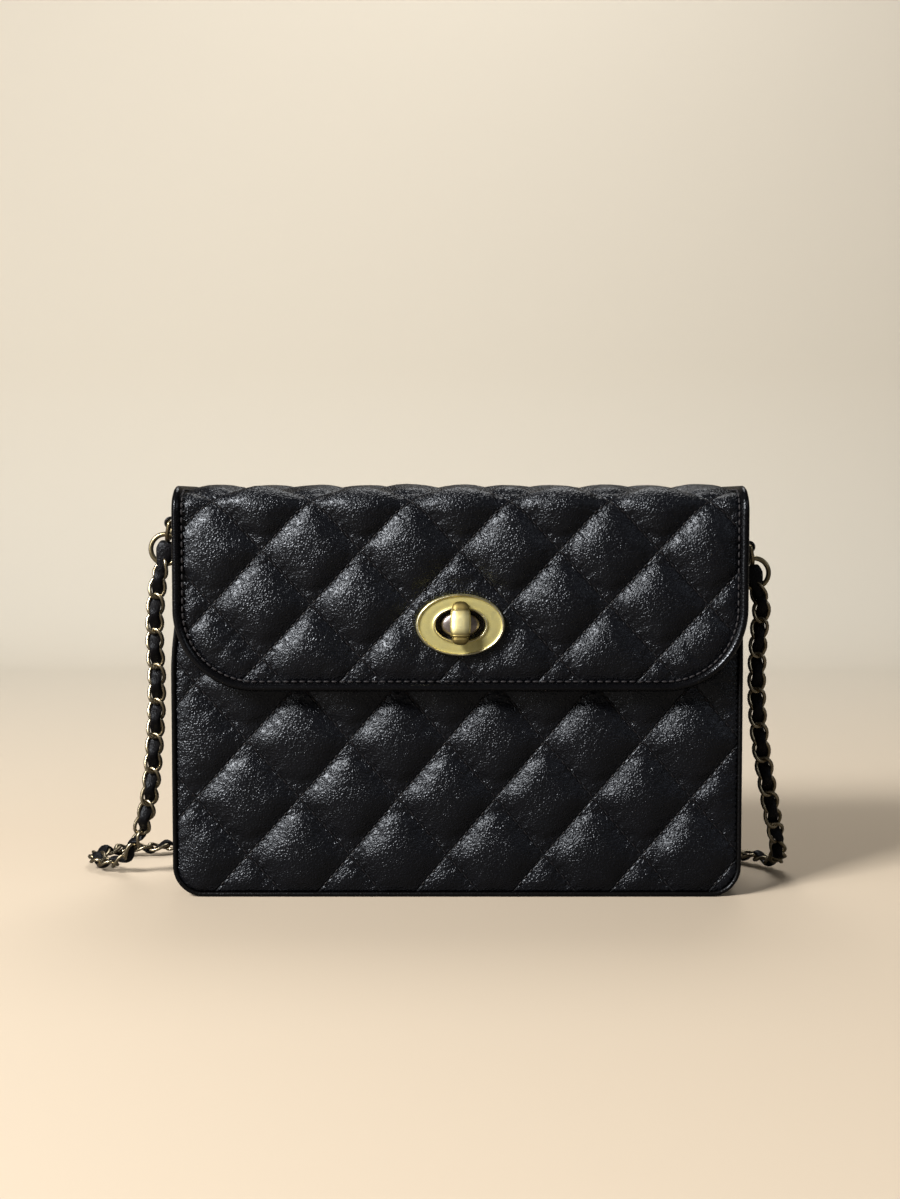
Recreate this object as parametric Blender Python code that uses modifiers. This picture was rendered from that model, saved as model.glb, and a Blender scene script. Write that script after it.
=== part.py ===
# Quilted flap bag with a turn lock and a chain strap. Metres, +Z up, front towards -Y.
# The case is drawn round its own middle. One empty then shifts it along Y, so that the
# origin lies under the middle of everything but the strap.

import bpy
import bmesh
from math import ceil, cos, pi, radians, sin
from mathutils import Matrix, Vector

for old in list(bpy.data.objects):
    bpy.data.objects.remove(old, do_unlink=True)

# Clearances that many pieces share
GAP = 0.0003
CUT_OVERRUN = 0.002
ARC_STEPS = 8
OVAL_STEPS = 32
SMOOTH_ANGLE = radians(40)

# Case. Drops are counted down from the bag's top.
CASE_WIDTH = 0.220
CASE_DEPTH = 0.058
BAG_HEIGHT = 0.161
CORNER_RADIUS = 0.012
MOUTH_DROP = 0.0210
GUSSET_DROP = 0.0145
GUSSET_THICKNESS = 0.0018
PIPING_DIAMETER = 0.0030
PIPING_INSET = 0.0005
PANEL_THICKNESS = 0.0040
STIFFENER_THICKNESS = 0.0020
LINING_THICKNESS = 0.0010
BASE_BOARD_THICKNESS = 0.0020
LINING_CORNER_RADIUS = 0.009

# Quilting: the diamonds' full width and height, and how deep the seams pull in
QUILT_WIDTH = 0.0382
CASE_QUILT_HEIGHT = 0.0452
FLAP_QUILT_HEIGHT = 0.0416
QUILT_DEPTH = 0.0018
QUILT_STEPS = 4
ROLL_QUILT_STEPS = 6
QUILT_CROWN = 0.5
CASE_CROSSING_SIDE = 0.0140
CASE_CROSSING_HEIGHT = 0.0391
FLAP_CROSSING_RISE = 0.0128

# Binding of the front mouth
BINDING_DROP = 0.011
BINDING_WALL = 0.0012
BINDING_TOP = 0.0016
BINDING_ROUND = 0.0008

# Flap
FLAP_OVERHANG = 0.0008
FLAP_DROP = 0.0790
FLAP_FOLD_STRAIGHT = 0.0010
FLAP_CORNER_RADIUS = 0.032
FLAP_THICKNESS = 0.0042
FLAP_LINING_THICKNESS = 0.0012
FLAP_CLEARANCE = 0.0012
FLAP_EDGE_WIDTH = 0.0026
FLAP_EDGE_ROUND = 0.0008
FLAP_LINING_INSET = 0.0035
FRONT_ROLL_RADIUS = 0.010
BACK_ROLL_RADIUS = 0.008
ROLL_STEPS = 8

# Turn lock
LOCK_ABOVE_EDGE = 0.0260
PLATE_WIDTH = 0.0340
PLATE_HEIGHT = 0.0237
PLATE_THICKNESS = 0.0024
PLATE_STANDS_PROUD = 0.0012
PLATE_EDGE_ROUND = 0.0007
SLOT_WIDTH = 0.0192
SLOT_HEIGHT = 0.0127
BACKING_THICKNESS = 0.0010
FLAP_HOLE_WIDTH = 0.0290
FLAP_HOLE_HEIGHT = 0.0204
LOCK_BASE_WIDTH = 0.0260
LOCK_BASE_HEIGHT = 0.0170
LOCK_BASE_THICKNESS = 0.0012
LOCK_BASE_SINK = 0.0006
BOSS_WIDTH = 0.0158
BOSS_HEIGHT = 0.0104
BOSS_BELOW_PLATE = 0.0012
KNOB_LENGTH = 0.0160
KNOB_WIDTH = 0.0079
KNOB_THICKNESS = 0.0056
KNOB_CLEARANCE = 0.0004
KNOB_END_WIDTH_SHARE = 0.62
KNOB_END_ROUND_SHARE = 0.25
KNOB_OUTLINE_STEPS = 4
NECK_DIAMETER = 0.0058
SPINDLE_DIAMETER = 0.0034
WASHER_WIDTH = 0.0240
WASHER_HEIGHT = 0.0160
WASHER_THICKNESS = 0.0008
WASHER_POCKET = 0.0010
CLIP_DIAMETER = 0.0070
CLIP_THICKNESS = 0.0006
TURNED_STEPS = 20

# Strap fittings
LEFT_TAB_DROP = 0.0144
RIGHT_TAB_DROP = 0.0241
TAB_REACH = 0.0065
TAB_WIDTH = 0.008
TAB_LEATHER = 0.0016
TAB_TAIL_THICKNESS = 0.0012
TAB_TAIL_LENGTH = 0.017
TAB_THROAT = 0.0045
TAB_EYE_TURN = radians(108)
RING_TILT = radians(13.3)
D_RING_WIRE = 0.0018
D_RING_WIDTH = 0.0118
D_RING_DROP = 0.0072
TAB_HOLE_CLEARANCE = 0.0004
ROUND_RING_WIRE = 0.0020
ROUND_RING_DIAMETER = 0.0140
RING_PLAY = 0.0004
RING_STEPS = 20

# Strap: a chain with a leather ribbon, as thick as its widest link
STRAP_DIAMETER = 0.0075
STRAP_POINT_SPACING = 0.0145
STRAP_LEAD = 0.007
STRAP_FOLD_RADIUS = 0.0225
STRAP_CURVE_STEPS = 12
STRAP_NEAR_DIAMETERS = 4

# Levels across the front, from the middle of the case outwards
case_half = CASE_DEPTH / 2
panel_back = case_half - PANEL_THICKNESS
stiffener_outer = panel_back - GAP
stiffener_inner = stiffener_outer - STIFFENER_THICKNESS
lining_outer = stiffener_inner - GAP
lining_inner = lining_outer - LINING_THICKNESS
gusset_half_depth = case_half - PIPING_INSET - PIPING_DIAMETER - GAP
piping_level = case_half - PIPING_INSET - PIPING_DIAMETER / 2
backing_inner = case_half + FLAP_CLEARANCE
backing_outer = backing_inner + BACKING_THICKNESS
flap_lining_inner = backing_outer + GAP
flap_lining_outer = flap_lining_inner + FLAP_LINING_THICKNESS
flap_inner = flap_lining_outer + GAP
flap_outer = flap_inner + FLAP_THICKNESS
plate_outer = flap_outer + PLATE_STANDS_PROUD
plate_inner = plate_outer - PLATE_THICKNESS
boss_outer = plate_outer - BOSS_BELOW_PLATE
knob_inner = plate_outer + KNOB_CLEARANCE
knob_outer = knob_inner + KNOB_THICKNESS
case_shift = (knob_outer - case_half) / 2

# Levels up the case and across its sides
half_width = CASE_WIDTH / 2
mouth_height = BAG_HEIGHT - MOUTH_DROP
gusset_height = BAG_HEIGHT - GUSSET_DROP
fold_height = BAG_HEIGHT - FRONT_ROLL_RADIUS - FLAP_FOLD_STRAIGHT
flap_low = BAG_HEIGHT - FLAP_DROP
flap_crossing_height = flap_low + FLAP_CROSSING_RISE
lock_height = flap_low + LOCK_ABOVE_EDGE
left_tab_height = BAG_HEIGHT - LEFT_TAB_DROP
right_tab_height = BAG_HEIGHT - RIGHT_TAB_DROP
strap_floor = STRAP_DIAMETER / 2 + GAP / 2
board_low = GUSSET_THICKNESS + GAP
gusset_lining_low = board_low + BASE_BOARD_THICKNESS + GAP
gusset_lining_half = half_width - GUSSET_THICKNESS - GAP
inner_low = gusset_lining_low + LINING_THICKNESS + GAP
inner_half = gusset_lining_half - LINING_THICKNESS - GAP
inner_radius = LINING_CORNER_RADIUS - LINING_THICKNESS - GAP
panel_inset = GAP + PIPING_DIAMETER + GAP
hinge_height = BAG_HEIGHT - BACK_ROLL_RADIUS
binding_low = mouth_height - BINDING_DROP
flap_half = half_width + FLAP_OVERHANG

FINISHES = {
    "leather": ((0.012, 0.012, 0.018, 1.0), 0.42, 0.0),
    "lining": ((0.03, 0.028, 0.028, 1.0), 0.85, 0.0),
    "board": ((0.30, 0.26, 0.20, 1.0), 0.9, 0.0),
    "brass": ((0.52, 0.40, 0.17, 1.0), 0.32, 1.0),
    "ring_brass": ((0.36, 0.31, 0.20, 1.0), 0.38, 1.0),
    "steel": ((0.45, 0.45, 0.46, 1.0), 0.35, 1.0),
}

parts = bpy.data.collections.new("quilted_flap_bag")
cutters = bpy.data.collections.new("cutters")
bpy.context.scene.collection.children.link(parts)
bpy.context.scene.collection.children.link(cutters)


# Empties: the case's own middle, and one on each joint's axis

def add_empty(name, place, parent=None, parent_place=None):
    empty = bpy.data.objects.new(name, None)
    empty.empty_display_size = CASE_DEPTH
    parts.objects.link(empty)
    empty.location = place
    if parent is not None:
        empty.parent = parent
        empty.matrix_parent_inverse = Matrix.Translation(-parent_place)
    return empty


case_frame = add_empty("case_frame", (0, case_shift, 0))
case_place = Vector((0, 0, 0))
swing_place = Vector((0, case_half, hinge_height))
lift_place = Vector((0, -flap_outer, fold_height))
knob_place = Vector((0, -knob_inner, lock_height))
tab_side = half_width + TAB_REACH
left_place = Vector((-tab_side, 0, left_tab_height))
right_place = Vector((tab_side, 0, right_tab_height))
swing_axis = add_empty("flap_swing_axis", swing_place, case_frame, case_place)
lift_axis = add_empty("flap_lift_axis", lift_place, swing_axis, swing_place)
knob_axis = add_empty("knob_turn_axis", knob_place, case_frame, case_place)
left_axis = add_empty("left_ring_axis", left_place, case_frame, case_place)
right_axis = add_empty("right_ring_axis", right_place, case_frame, case_place)

CASE = (case_frame, case_place)
FLAP_TOP = (swing_axis, swing_place)
FLAP_FRONT = (lift_axis, lift_place)
KNOB = (knob_axis, knob_place)
LEFT = (left_axis, left_place)
RIGHT = (right_axis, right_place)

# How a flat outline is turned: facing the front, the back, or the right-hand side
FACING_FRONT = (pi / 2, 0, 0)
FACING_BACK = (pi / 2, 0, pi)
FACING_SIDE = (pi / 2, 0, pi / 2)
FACING_UP = (0, 0, 0)


def set_parent(piece, carrier):
    axis, place = carrier
    piece.parent = axis
    piece.matrix_parent_inverse = Matrix.Translation(-place)


def give_finish(piece, finish):
    colour, roughness, metallic = FINISHES[finish]
    material = bpy.data.materials.new(piece.name + "_" + finish)
    material.use_nodes = True
    shader = material.node_tree.nodes["Principled BSDF"]
    shader.inputs["Base Color"].default_value = colour
    shader.inputs["Roughness"].default_value = roughness
    shader.inputs["Metallic"].default_value = metallic
    material.diffuse_color = colour
    piece.data.materials.append(material)


def add_part(name, data, finish, carrier, place=(0, 0, 0), facing=FACING_UP):
    piece = bpy.data.objects.new(name, data)
    parts.objects.link(piece)
    piece.location = place
    piece.rotation_euler = facing
    set_parent(piece, carrier)
    give_finish(piece, finish)
    return piece


# Outlines, as lists of points in their own plane

def arc(centre, radius, start, end, steps=ARC_STEPS):
    turns = [start + (end - start) * i / steps for i in range(steps + 1)]
    return [(centre[0] + radius * cos(t), centre[1] + radius * sin(t)) for t in turns]


def oval(width, height, middle=0.0, steps=OVAL_STEPS):
    turns = [2 * pi * i / steps for i in range(steps)]
    return [(width / 2 * cos(t), middle + height / 2 * sin(t)) for t in turns]


def u_path(half, low, high, radius):
    left = arc((radius - half, low + radius), radius, pi, 1.5 * pi)
    right = arc((half - radius, low + radius), radius, 1.5 * pi, 2 * pi)
    return [(-half, high)] + left + right + [(half, high)]


def u_band(half, low, high, radius, thickness):
    outer = u_path(half, low, high, radius)
    inner = u_path(half - thickness, low + thickness, high, radius - thickness)
    return outer + inner[::-1]


def outline_data(name, loops, thickness, edge_round=0.0, round_steps=1):
    data = bpy.data.curves.new(name, "CURVE")
    data.dimensions = "2D"
    data.fill_mode = "BOTH"
    data.extrude = thickness / 2 - edge_round
    data.bevel_depth = edge_round
    data.bevel_resolution = round_steps
    data.offset = -edge_round
    for loop in loops:
        spline = data.splines.new("POLY")
        spline.points.add(len(loop) - 1)
        for point, (across, up) in zip(spline.points, loop):
            point.co = (across, up, 0, 1)
        spline.use_cyclic_u = True
    return data


def tube_data(name, points, diameter, closed=False):
    data = bpy.data.curves.new(name, "CURVE")
    data.dimensions = "3D"
    data.bevel_depth = diameter / 2
    data.bevel_resolution = 2
    data.use_fill_caps = not closed
    spline = data.splines.new("POLY")
    spline.points.add(len(points) - 1)
    for point, place in zip(spline.points, points):
        point.co = (*place, 1)
    spline.use_cyclic_u = closed
    return data


def as_mesh(data):
    # A curve's caps are loose, so they are welded before the mesh is cut or joined
    holder = bpy.data.objects.new(data.name, data)
    cutters.objects.link(holder)
    evaluated = holder.evaluated_get(bpy.context.evaluated_depsgraph_get())
    mesh = bpy.data.meshes.new_from_object(evaluated)
    bpy.data.objects.remove(holder, do_unlink=True)
    bm = bmesh.new()
    bm.from_mesh(mesh)
    bmesh.ops.remove_doubles(bm, verts=bm.verts[:], dist=GAP / 100)
    bm.to_mesh(mesh)
    bm.free()
    return mesh


def add_cutter(name, data, carrier, place=(0, 0, 0), facing=FACING_UP):
    cutter = bpy.data.objects.new(name, data)
    cutters.objects.link(cutter)
    cutter.location = place
    cutter.rotation_euler = facing
    set_parent(cutter, carrier)
    cutter.hide_render = True
    cutter.display_type = "WIRE"
    return cutter


def plate_cutter(name, loops, near, far, carrier):
    # A prism across the front, from level near to level far, both counted outwards
    mesh = as_mesh(outline_data(name, loops, far - near))
    return add_cutter(name, mesh, carrier, (0, -(near + far) / 2, 0), FACING_FRONT)


def rod_mesh(name, diameter, length):
    bm = bmesh.new()
    radius = diameter / 2
    bmesh.ops.create_cone(bm, cap_ends=True, segments=TURNED_STEPS,
                          radius1=radius, radius2=radius, depth=length)
    mesh = bpy.data.meshes.new(name)
    bm.to_mesh(mesh)
    bm.free()
    mesh.shade_smooth()
    mesh.set_sharp_from_angle(angle=SMOOTH_ANGLE)
    return mesh


def rod_cutter(name, diameter, near, far, carrier):
    mesh = rod_mesh(name, diameter, far - near)
    return add_cutter(name, mesh, carrier, (0, -(near + far) / 2, lock_height), FACING_FRONT)


def combine(piece, other, operation="DIFFERENCE"):
    boolean = piece.modifiers.new(other.name, "BOOLEAN")
    boolean.operation = operation
    boolean.solver = "EXACT"
    boolean.object = other


# Quilting: a sheet of diamonds whose seams run along the grid's own lines

def quilt_crest(across, up, crossing, quilt_height):
    side = (across - crossing[0]) / QUILT_WIDTH
    rise = (up - crossing[1]) / quilt_height
    return abs(sin(pi * (side + rise)) * sin(pi * (side - rise))) ** QUILT_CROWN


def quilted_sheet(crossing, quilt_height, half, low, high, thickness, steps=QUILT_STEPS):
    # The grid covers the rectangle with a margin, and the outline trims it later.
    # Its cells are split level, so that the sheet also bends cleanly round a roll.
    middle = (low + high) / 2
    reach = half / QUILT_WIDTH + (high - low) / 2 / quilt_height
    tiles = ceil(reach) + 1
    cells = 2 * tiles * steps
    shift_side = round(-crossing[0] / QUILT_WIDTH)
    shift_rise = round((middle - crossing[1]) / quilt_height)
    bm = bmesh.new()
    bmesh.ops.create_grid(bm, x_segments=cells, y_segments=cells, size=tiles)
    for vert in bm.verts:
        along, against = vert.co.x + shift_side, vert.co.y
        across = crossing[0] + QUILT_WIDTH * (along + against) / 2
        up = crossing[1] + quilt_height * ((along - against) / 2 + shift_rise)
        crest = quilt_crest(across, up, crossing, quilt_height)
        vert.co = (across, up, thickness - QUILT_DEPTH * (1 - crest))
    margin_side = QUILT_WIDTH / steps
    margin_rise = quilt_height / steps
    outside = [face for face in bm.faces
               if abs(face.calc_center_median().x) > half + margin_side
               or abs(face.calc_center_median().y - middle) > (high - low) / 2 + margin_rise]
    bmesh.ops.delete(bm, geom=outside, context="FACES")
    bmesh.ops.triangulate(bm, faces=bm.faces[:], quad_method="FIXED")
    return bm


def close_back(bm):
    rim = [edge for edge in bm.edges if edge.is_boundary]
    walls = bmesh.ops.extrude_edge_only(bm, edges=rim)["geom"]
    for vert in (item for item in walls if isinstance(item, bmesh.types.BMVert)):
        vert.co.z = 0
    bmesh.ops.contextual_create(bm, geom=[edge for edge in bm.edges if edge.is_boundary])


def sheet_mesh(name, bm):
    bmesh.ops.triangulate(bm, faces=bm.faces[:])
    bmesh.ops.recalc_face_normals(bm, faces=bm.faces[:])
    mesh = bpy.data.meshes.new(name)
    bm.to_mesh(mesh)
    bm.free()
    return mesh


# Gusset, piping, boards and linings

def make_gusset():
    loop = u_band(half_width, 0, gusset_height, CORNER_RADIUS, GUSSET_THICKNESS)
    data = outline_data("gusset", [loop], 2 * gusset_half_depth)
    add_part("gusset", data, "leather", CASE, facing=FACING_FRONT)

    loop = u_band(gusset_lining_half, gusset_lining_low, gusset_height,
                  LINING_CORNER_RADIUS, LINING_THICKNESS)
    data = outline_data("gusset_lining", [loop], 2 * (stiffener_outer - GAP))
    add_part("gusset_lining", data, "lining", CASE, facing=FACING_FRONT)


def make_base_board():
    side = half_width - CORNER_RADIUS - GAP
    depth = panel_back - GAP
    loop = [(-side, -depth), (side, -depth), (side, depth), (-side, depth)]
    data = outline_data("base_board", [loop], BASE_BOARD_THICKNESS)
    add_part("base_board", data, "board", CASE, (0, 0, board_low + BASE_BOARD_THICKNESS / 2))


def make_piping(name, level, top):
    inset = GAP + PIPING_DIAMETER / 2
    path = u_path(half_width - inset, inset, top, CORNER_RADIUS - inset)
    data = tube_data(name, [(across, level, up) for across, up in path], PIPING_DIAMETER)
    add_part(name, data, "leather", CASE)


def make_inner_sheet(name, finish, near, far, top, cutter=None):
    loop = u_path(inner_half, inner_low, top, inner_radius)
    mesh = as_mesh(outline_data(name, [loop], far - near))
    middle = (near + far) / 2
    facing = FACING_FRONT if middle > 0 else FACING_BACK
    sheet = add_part(name, mesh, finish, CASE, (0, -middle, 0), facing)
    if cutter is not None:
        combine(sheet, cutter)
    return sheet


def make_panel(name, top, crossing, facing):
    inset_half = half_width - panel_inset
    sheet = quilted_sheet(crossing, CASE_QUILT_HEIGHT, inset_half, panel_inset, top,
                          PANEL_THICKNESS)
    close_back(sheet)
    outward = -1 if facing == FACING_FRONT else 1
    panel = add_part(name, sheet_mesh(name, sheet), "leather", CASE,
                     (0, outward * panel_back, 0), facing)
    loop = u_path(inset_half, panel_inset, top, CORNER_RADIUS - panel_inset)
    mesh = as_mesh(outline_data(name + "_outline", [loop], CASE_DEPTH))
    combine(panel, add_cutter(name + "_outline", mesh, CASE,
                              (0, outward * case_half, 0), facing), "INTERSECT")
    return panel


def make_case():
    make_gusset()
    make_base_board()
    make_piping("front_piping", -piping_level, mouth_height)
    make_piping("back_piping", piping_level, hinge_height - GAP)

    crossing = (CASE_CROSSING_SIDE, CASE_CROSSING_HEIGHT)
    front = make_panel("front_panel", binding_low - GAP, crossing, FACING_FRONT)
    make_panel("back_panel", hinge_height - GAP / 2, crossing, FACING_BACK)

    spindle_hole = rod_cutter("spindle_hole", SPINDLE_DIAMETER + 2 * GAP,
                              lining_inner, case_half + CUT_OVERRUN, CASE)
    base_seat = oval(LOCK_BASE_WIDTH + 2 * GAP, LOCK_BASE_HEIGHT + 2 * GAP, lock_height)
    combine(front, spindle_hole)
    combine(front, plate_cutter("lock_base_seat", [base_seat],
                                case_half - LOCK_BASE_SINK - GAP,
                                case_half + CUT_OVERRUN, CASE))

    pocket = oval(WASHER_WIDTH + 2 * WASHER_POCKET, WASHER_HEIGHT + 2 * WASHER_POCKET,
                  lock_height)
    pocket_cutter = plate_cutter("washer_pocket", [pocket], lining_inner,
                                 case_half, CASE)
    stiffener_top = mouth_height - BINDING_TOP - GAP
    make_inner_sheet("front_stiffener", "board", stiffener_inner, stiffener_outer,
                     stiffener_top, pocket_cutter)
    make_inner_sheet("back_stiffener", "board", -stiffener_outer, -stiffener_inner,
                     hinge_height - GAP)
    make_inner_sheet("front_lining", "lining", lining_inner, lining_outer,
                     binding_low - GAP)
    make_inner_sheet("back_lining", "lining", -lining_outer, -lining_inner,
                     hinge_height - GAP)


def make_mouth_binding():
    # A folded strip over the front's top edge, thick in front and thin inside
    front = panel_back + GAP / 2
    outer = case_half - GAP
    slot_back = lining_outer
    inner = slot_back - BINDING_WALL
    round_over = BINDING_ROUND
    top = mouth_height
    loop = [(-outer, binding_low)]
    loop += [(-front, binding_low), (-front, top - BINDING_TOP)]
    loop += [(-slot_back, top - BINDING_TOP), (-slot_back, binding_low)]
    loop += [(-inner, binding_low)]
    loop += arc((-inner - round_over, top - round_over), round_over, 0, pi / 2)
    loop += arc((-outer + round_over, top - round_over), round_over, pi / 2, pi)
    data = outline_data("mouth_binding", [loop], 2 * (half_width - panel_inset))
    add_part("mouth_binding", data, "leather", CASE, facing=FACING_SIDE)


# Flap

def flap_profile(along, depth):
    # A place on the flap's top: along from its front fold to the hinge, depth outwards
    # from the inner face. It rises, rolls back, lies flat and rolls down to the hinge.
    front_centre = FRONT_ROLL_RADIUS - flap_outer
    back_centre = case_half - BACK_ROLL_RADIUS
    rise = FLAP_FOLD_STRAIGHT
    quarter_front = FRONT_ROLL_RADIUS * pi / 2
    flat = back_centre - front_centre
    in_by = FLAP_THICKNESS - depth
    if along < rise:
        return in_by - flap_outer, fold_height + along
    if along < rise + quarter_front:
        turn = pi - (along - rise) / FRONT_ROLL_RADIUS
        reach = FRONT_ROLL_RADIUS - in_by
        return (front_centre + reach * cos(turn),
                BAG_HEIGHT - FRONT_ROLL_RADIUS + reach * sin(turn))
    if along < rise + quarter_front + flat:
        return front_centre + along - rise - quarter_front, BAG_HEIGHT - in_by
    turn = pi / 2 - (along - rise - quarter_front - flat) / BACK_ROLL_RADIUS
    reach = BACK_ROLL_RADIUS - in_by
    return back_centre + reach * cos(turn), hinge_height + reach * sin(turn)


flap_top_length = (FLAP_FOLD_STRAIGHT
                   + (FRONT_ROLL_RADIUS + BACK_ROLL_RADIUS) * pi / 2
                   + case_half - BACK_ROLL_RADIUS - FRONT_ROLL_RADIUS + flap_outer)


def flap_band(inner_depth, outer_depth):
    # The flap top's side view as a closed loop, for its linings and edges
    places = [GAP / 2]
    rise = FLAP_FOLD_STRAIGHT
    places += [rise + FRONT_ROLL_RADIUS * pi / 2 * i / ROLL_STEPS
               for i in range(ROLL_STEPS + 1)]
    places += [flap_top_length - BACK_ROLL_RADIUS * pi / 2 * (1 - i / ROLL_STEPS)
               for i in range(ROLL_STEPS)]
    places += [flap_top_length - GAP / 2]
    outer = [flap_profile(along, outer_depth) for along in places]
    inner = [flap_profile(along, inner_depth) for along in places]
    return outer + inner[::-1]


def make_flap_top():
    # The quilting is made flat, trimmed, and then laid over the profile
    leather_half = flap_half - FLAP_EDGE_WIDTH - GAP
    start = GAP / 2
    end = flap_top_length - GAP / 2
    crossing = (0, flap_crossing_height - fold_height)
    bm = quilted_sheet(crossing, FLAP_QUILT_HEIGHT, leather_half, start, end,
                       FLAP_THICKNESS, ROLL_QUILT_STEPS)
    limits = [((leather_half, 0, 0), (1, 0, 0)), ((-leather_half, 0, 0), (-1, 0, 0)),
              ((0, start, 0), (0, -1, 0)), ((0, end, 0), (0, 1, 0))]
    for place, normal in limits:
        geometry = bm.verts[:] + bm.edges[:] + bm.faces[:]
        bmesh.ops.bisect_plane(bm, geom=geometry, plane_co=place, plane_no=normal,
                               clear_outer=True)
    copied = bmesh.ops.extrude_face_region(bm, geom=bm.faces[:])["geom"]
    for vert in (item for item in copied if isinstance(item, bmesh.types.BMVert)):
        vert.co.z = 0
    for vert in bm.verts:
        back, up = flap_profile(vert.co.y, vert.co.z)
        vert.co = (vert.co.x, back, up)
    add_part("flap_top_leather", sheet_mesh("flap_top_leather", bm), "leather", FLAP_TOP)

    lining_outside = -GAP
    lining_inside = lining_outside - FLAP_LINING_THICKNESS
    loop = flap_band(lining_inside, lining_outside)
    data = outline_data("flap_top_lining", [loop], 2 * (flap_half - FLAP_LINING_INSET))
    add_part("flap_top_lining", data, "lining", FLAP_TOP, facing=FACING_SIDE)

    edge_place = flap_half - FLAP_EDGE_WIDTH / 2
    for name, side in (("flap_top_left_edge", -1), ("flap_top_right_edge", 1)):
        loop = flap_band(0, FLAP_THICKNESS)
        data = outline_data(name, [loop], FLAP_EDGE_WIDTH, FLAP_EDGE_ROUND)
        add_part(name, data, "leather", FLAP_TOP, (side * edge_place, 0, 0), FACING_SIDE)


def make_flap_front():
    top = fold_height - GAP / 2
    inset = FLAP_EDGE_WIDTH + GAP
    leather_half = flap_half - inset
    leather_low = flap_low + inset
    sheet = quilted_sheet((0, flap_crossing_height), FLAP_QUILT_HEIGHT, leather_half,
                          leather_low, top, FLAP_THICKNESS)
    close_back(sheet)
    leather = add_part("flap_front_leather", sheet_mesh("flap_front_leather", sheet),
                       "leather", FLAP_FRONT, (0, -flap_inner, 0), FACING_FRONT)
    loop = u_path(leather_half, leather_low, top, FLAP_CORNER_RADIUS - inset)
    combine(leather, plate_cutter("flap_front_outline", [loop], 0, 2 * flap_outer,
                                  FLAP_FRONT), "INTERSECT")
    hole = oval(FLAP_HOLE_WIDTH, FLAP_HOLE_HEIGHT, lock_height)
    seat = oval(PLATE_WIDTH + 2 * GAP, PLATE_HEIGHT + 2 * GAP, lock_height)
    combine(leather, plate_cutter("flap_hole", [hole], case_half, 2 * flap_outer, FLAP_FRONT))
    combine(leather, plate_cutter("plate_seat", [seat], plate_inner - GAP,
                                  2 * flap_outer, FLAP_FRONT))

    lining_half = flap_half - FLAP_LINING_INSET
    loop = u_path(lining_half, flap_low + FLAP_LINING_INSET, top,
                  FLAP_CORNER_RADIUS - FLAP_LINING_INSET)
    data = outline_data("flap_front_lining", [loop, hole], FLAP_LINING_THICKNESS)
    add_part("flap_front_lining", data, "lining", FLAP_FRONT,
             (0, -(flap_lining_inner + flap_lining_outer) / 2, 0), FACING_FRONT)

    loop = u_band(flap_half, flap_low, top, FLAP_CORNER_RADIUS, FLAP_EDGE_WIDTH)
    data = outline_data("flap_front_edge", [loop], FLAP_THICKNESS, FLAP_EDGE_ROUND)
    add_part("flap_front_edge", data, "leather", FLAP_FRONT,
             (0, -(flap_inner + flap_outer) / 2, 0), FACING_FRONT)


# Turn lock

def make_lock_plate():
    rim = oval(PLATE_WIDTH, PLATE_HEIGHT)
    slot = oval(SLOT_WIDTH, SLOT_HEIGHT)
    data = outline_data("lock_plate", [rim, slot], PLATE_THICKNESS, PLATE_EDGE_ROUND, 2)
    add_part("lock_plate", data, "brass", FLAP_FRONT,
             (0, -(plate_inner + plate_outer) / 2, lock_height), FACING_FRONT)

    hole = oval(FLAP_HOLE_WIDTH, FLAP_HOLE_HEIGHT)
    data = outline_data("lock_plate_backing", [rim, hole], BACKING_THICKNESS)
    add_part("lock_plate_backing", data, "brass", FLAP_FRONT,
             (0, -(backing_inner + backing_outer) / 2, lock_height), FACING_FRONT)


def make_lock_base():
    base_inner = case_half - LOCK_BASE_SINK
    base_outer = base_inner + LOCK_BASE_THICKNESS
    flange = oval(LOCK_BASE_WIDTH, LOCK_BASE_HEIGHT)
    mesh = as_mesh(outline_data("lock_base", [flange], LOCK_BASE_THICKNESS))
    base = add_part("lock_base", mesh, "brass", CASE,
                    (0, -(base_inner + base_outer) / 2, lock_height), FACING_FRONT)
    boss = oval(BOSS_WIDTH, BOSS_HEIGHT, lock_height)
    root = base_inner + LOCK_BASE_THICKNESS / 2
    combine(base, plate_cutter("lock_boss", [boss], root, boss_outer, CASE), "UNION")
    combine(base, rod_cutter("lock_bore", SPINDLE_DIAMETER + 2 * GAP, panel_back,
                             boss_outer + CUT_OVERRUN, CASE))

    washer = oval(WASHER_WIDTH, WASHER_HEIGHT)
    bore = oval(SPINDLE_DIAMETER + 2 * GAP, SPINDLE_DIAMETER + 2 * GAP, steps=TURNED_STEPS)
    data = outline_data("lock_back_washer", [washer, bore], WASHER_THICKNESS)
    add_part("lock_back_washer", data, "steel", CASE,
             (0, -(stiffener_outer - WASHER_THICKNESS / 2), lock_height), FACING_FRONT)


def knob_half_width(share):
    # The barrel's outline, from its middle (0) to its end (1)
    crown = 1 - (1 - KNOB_END_WIDTH_SHARE) * share ** 2
    return KNOB_WIDTH / 2 * crown


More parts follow.
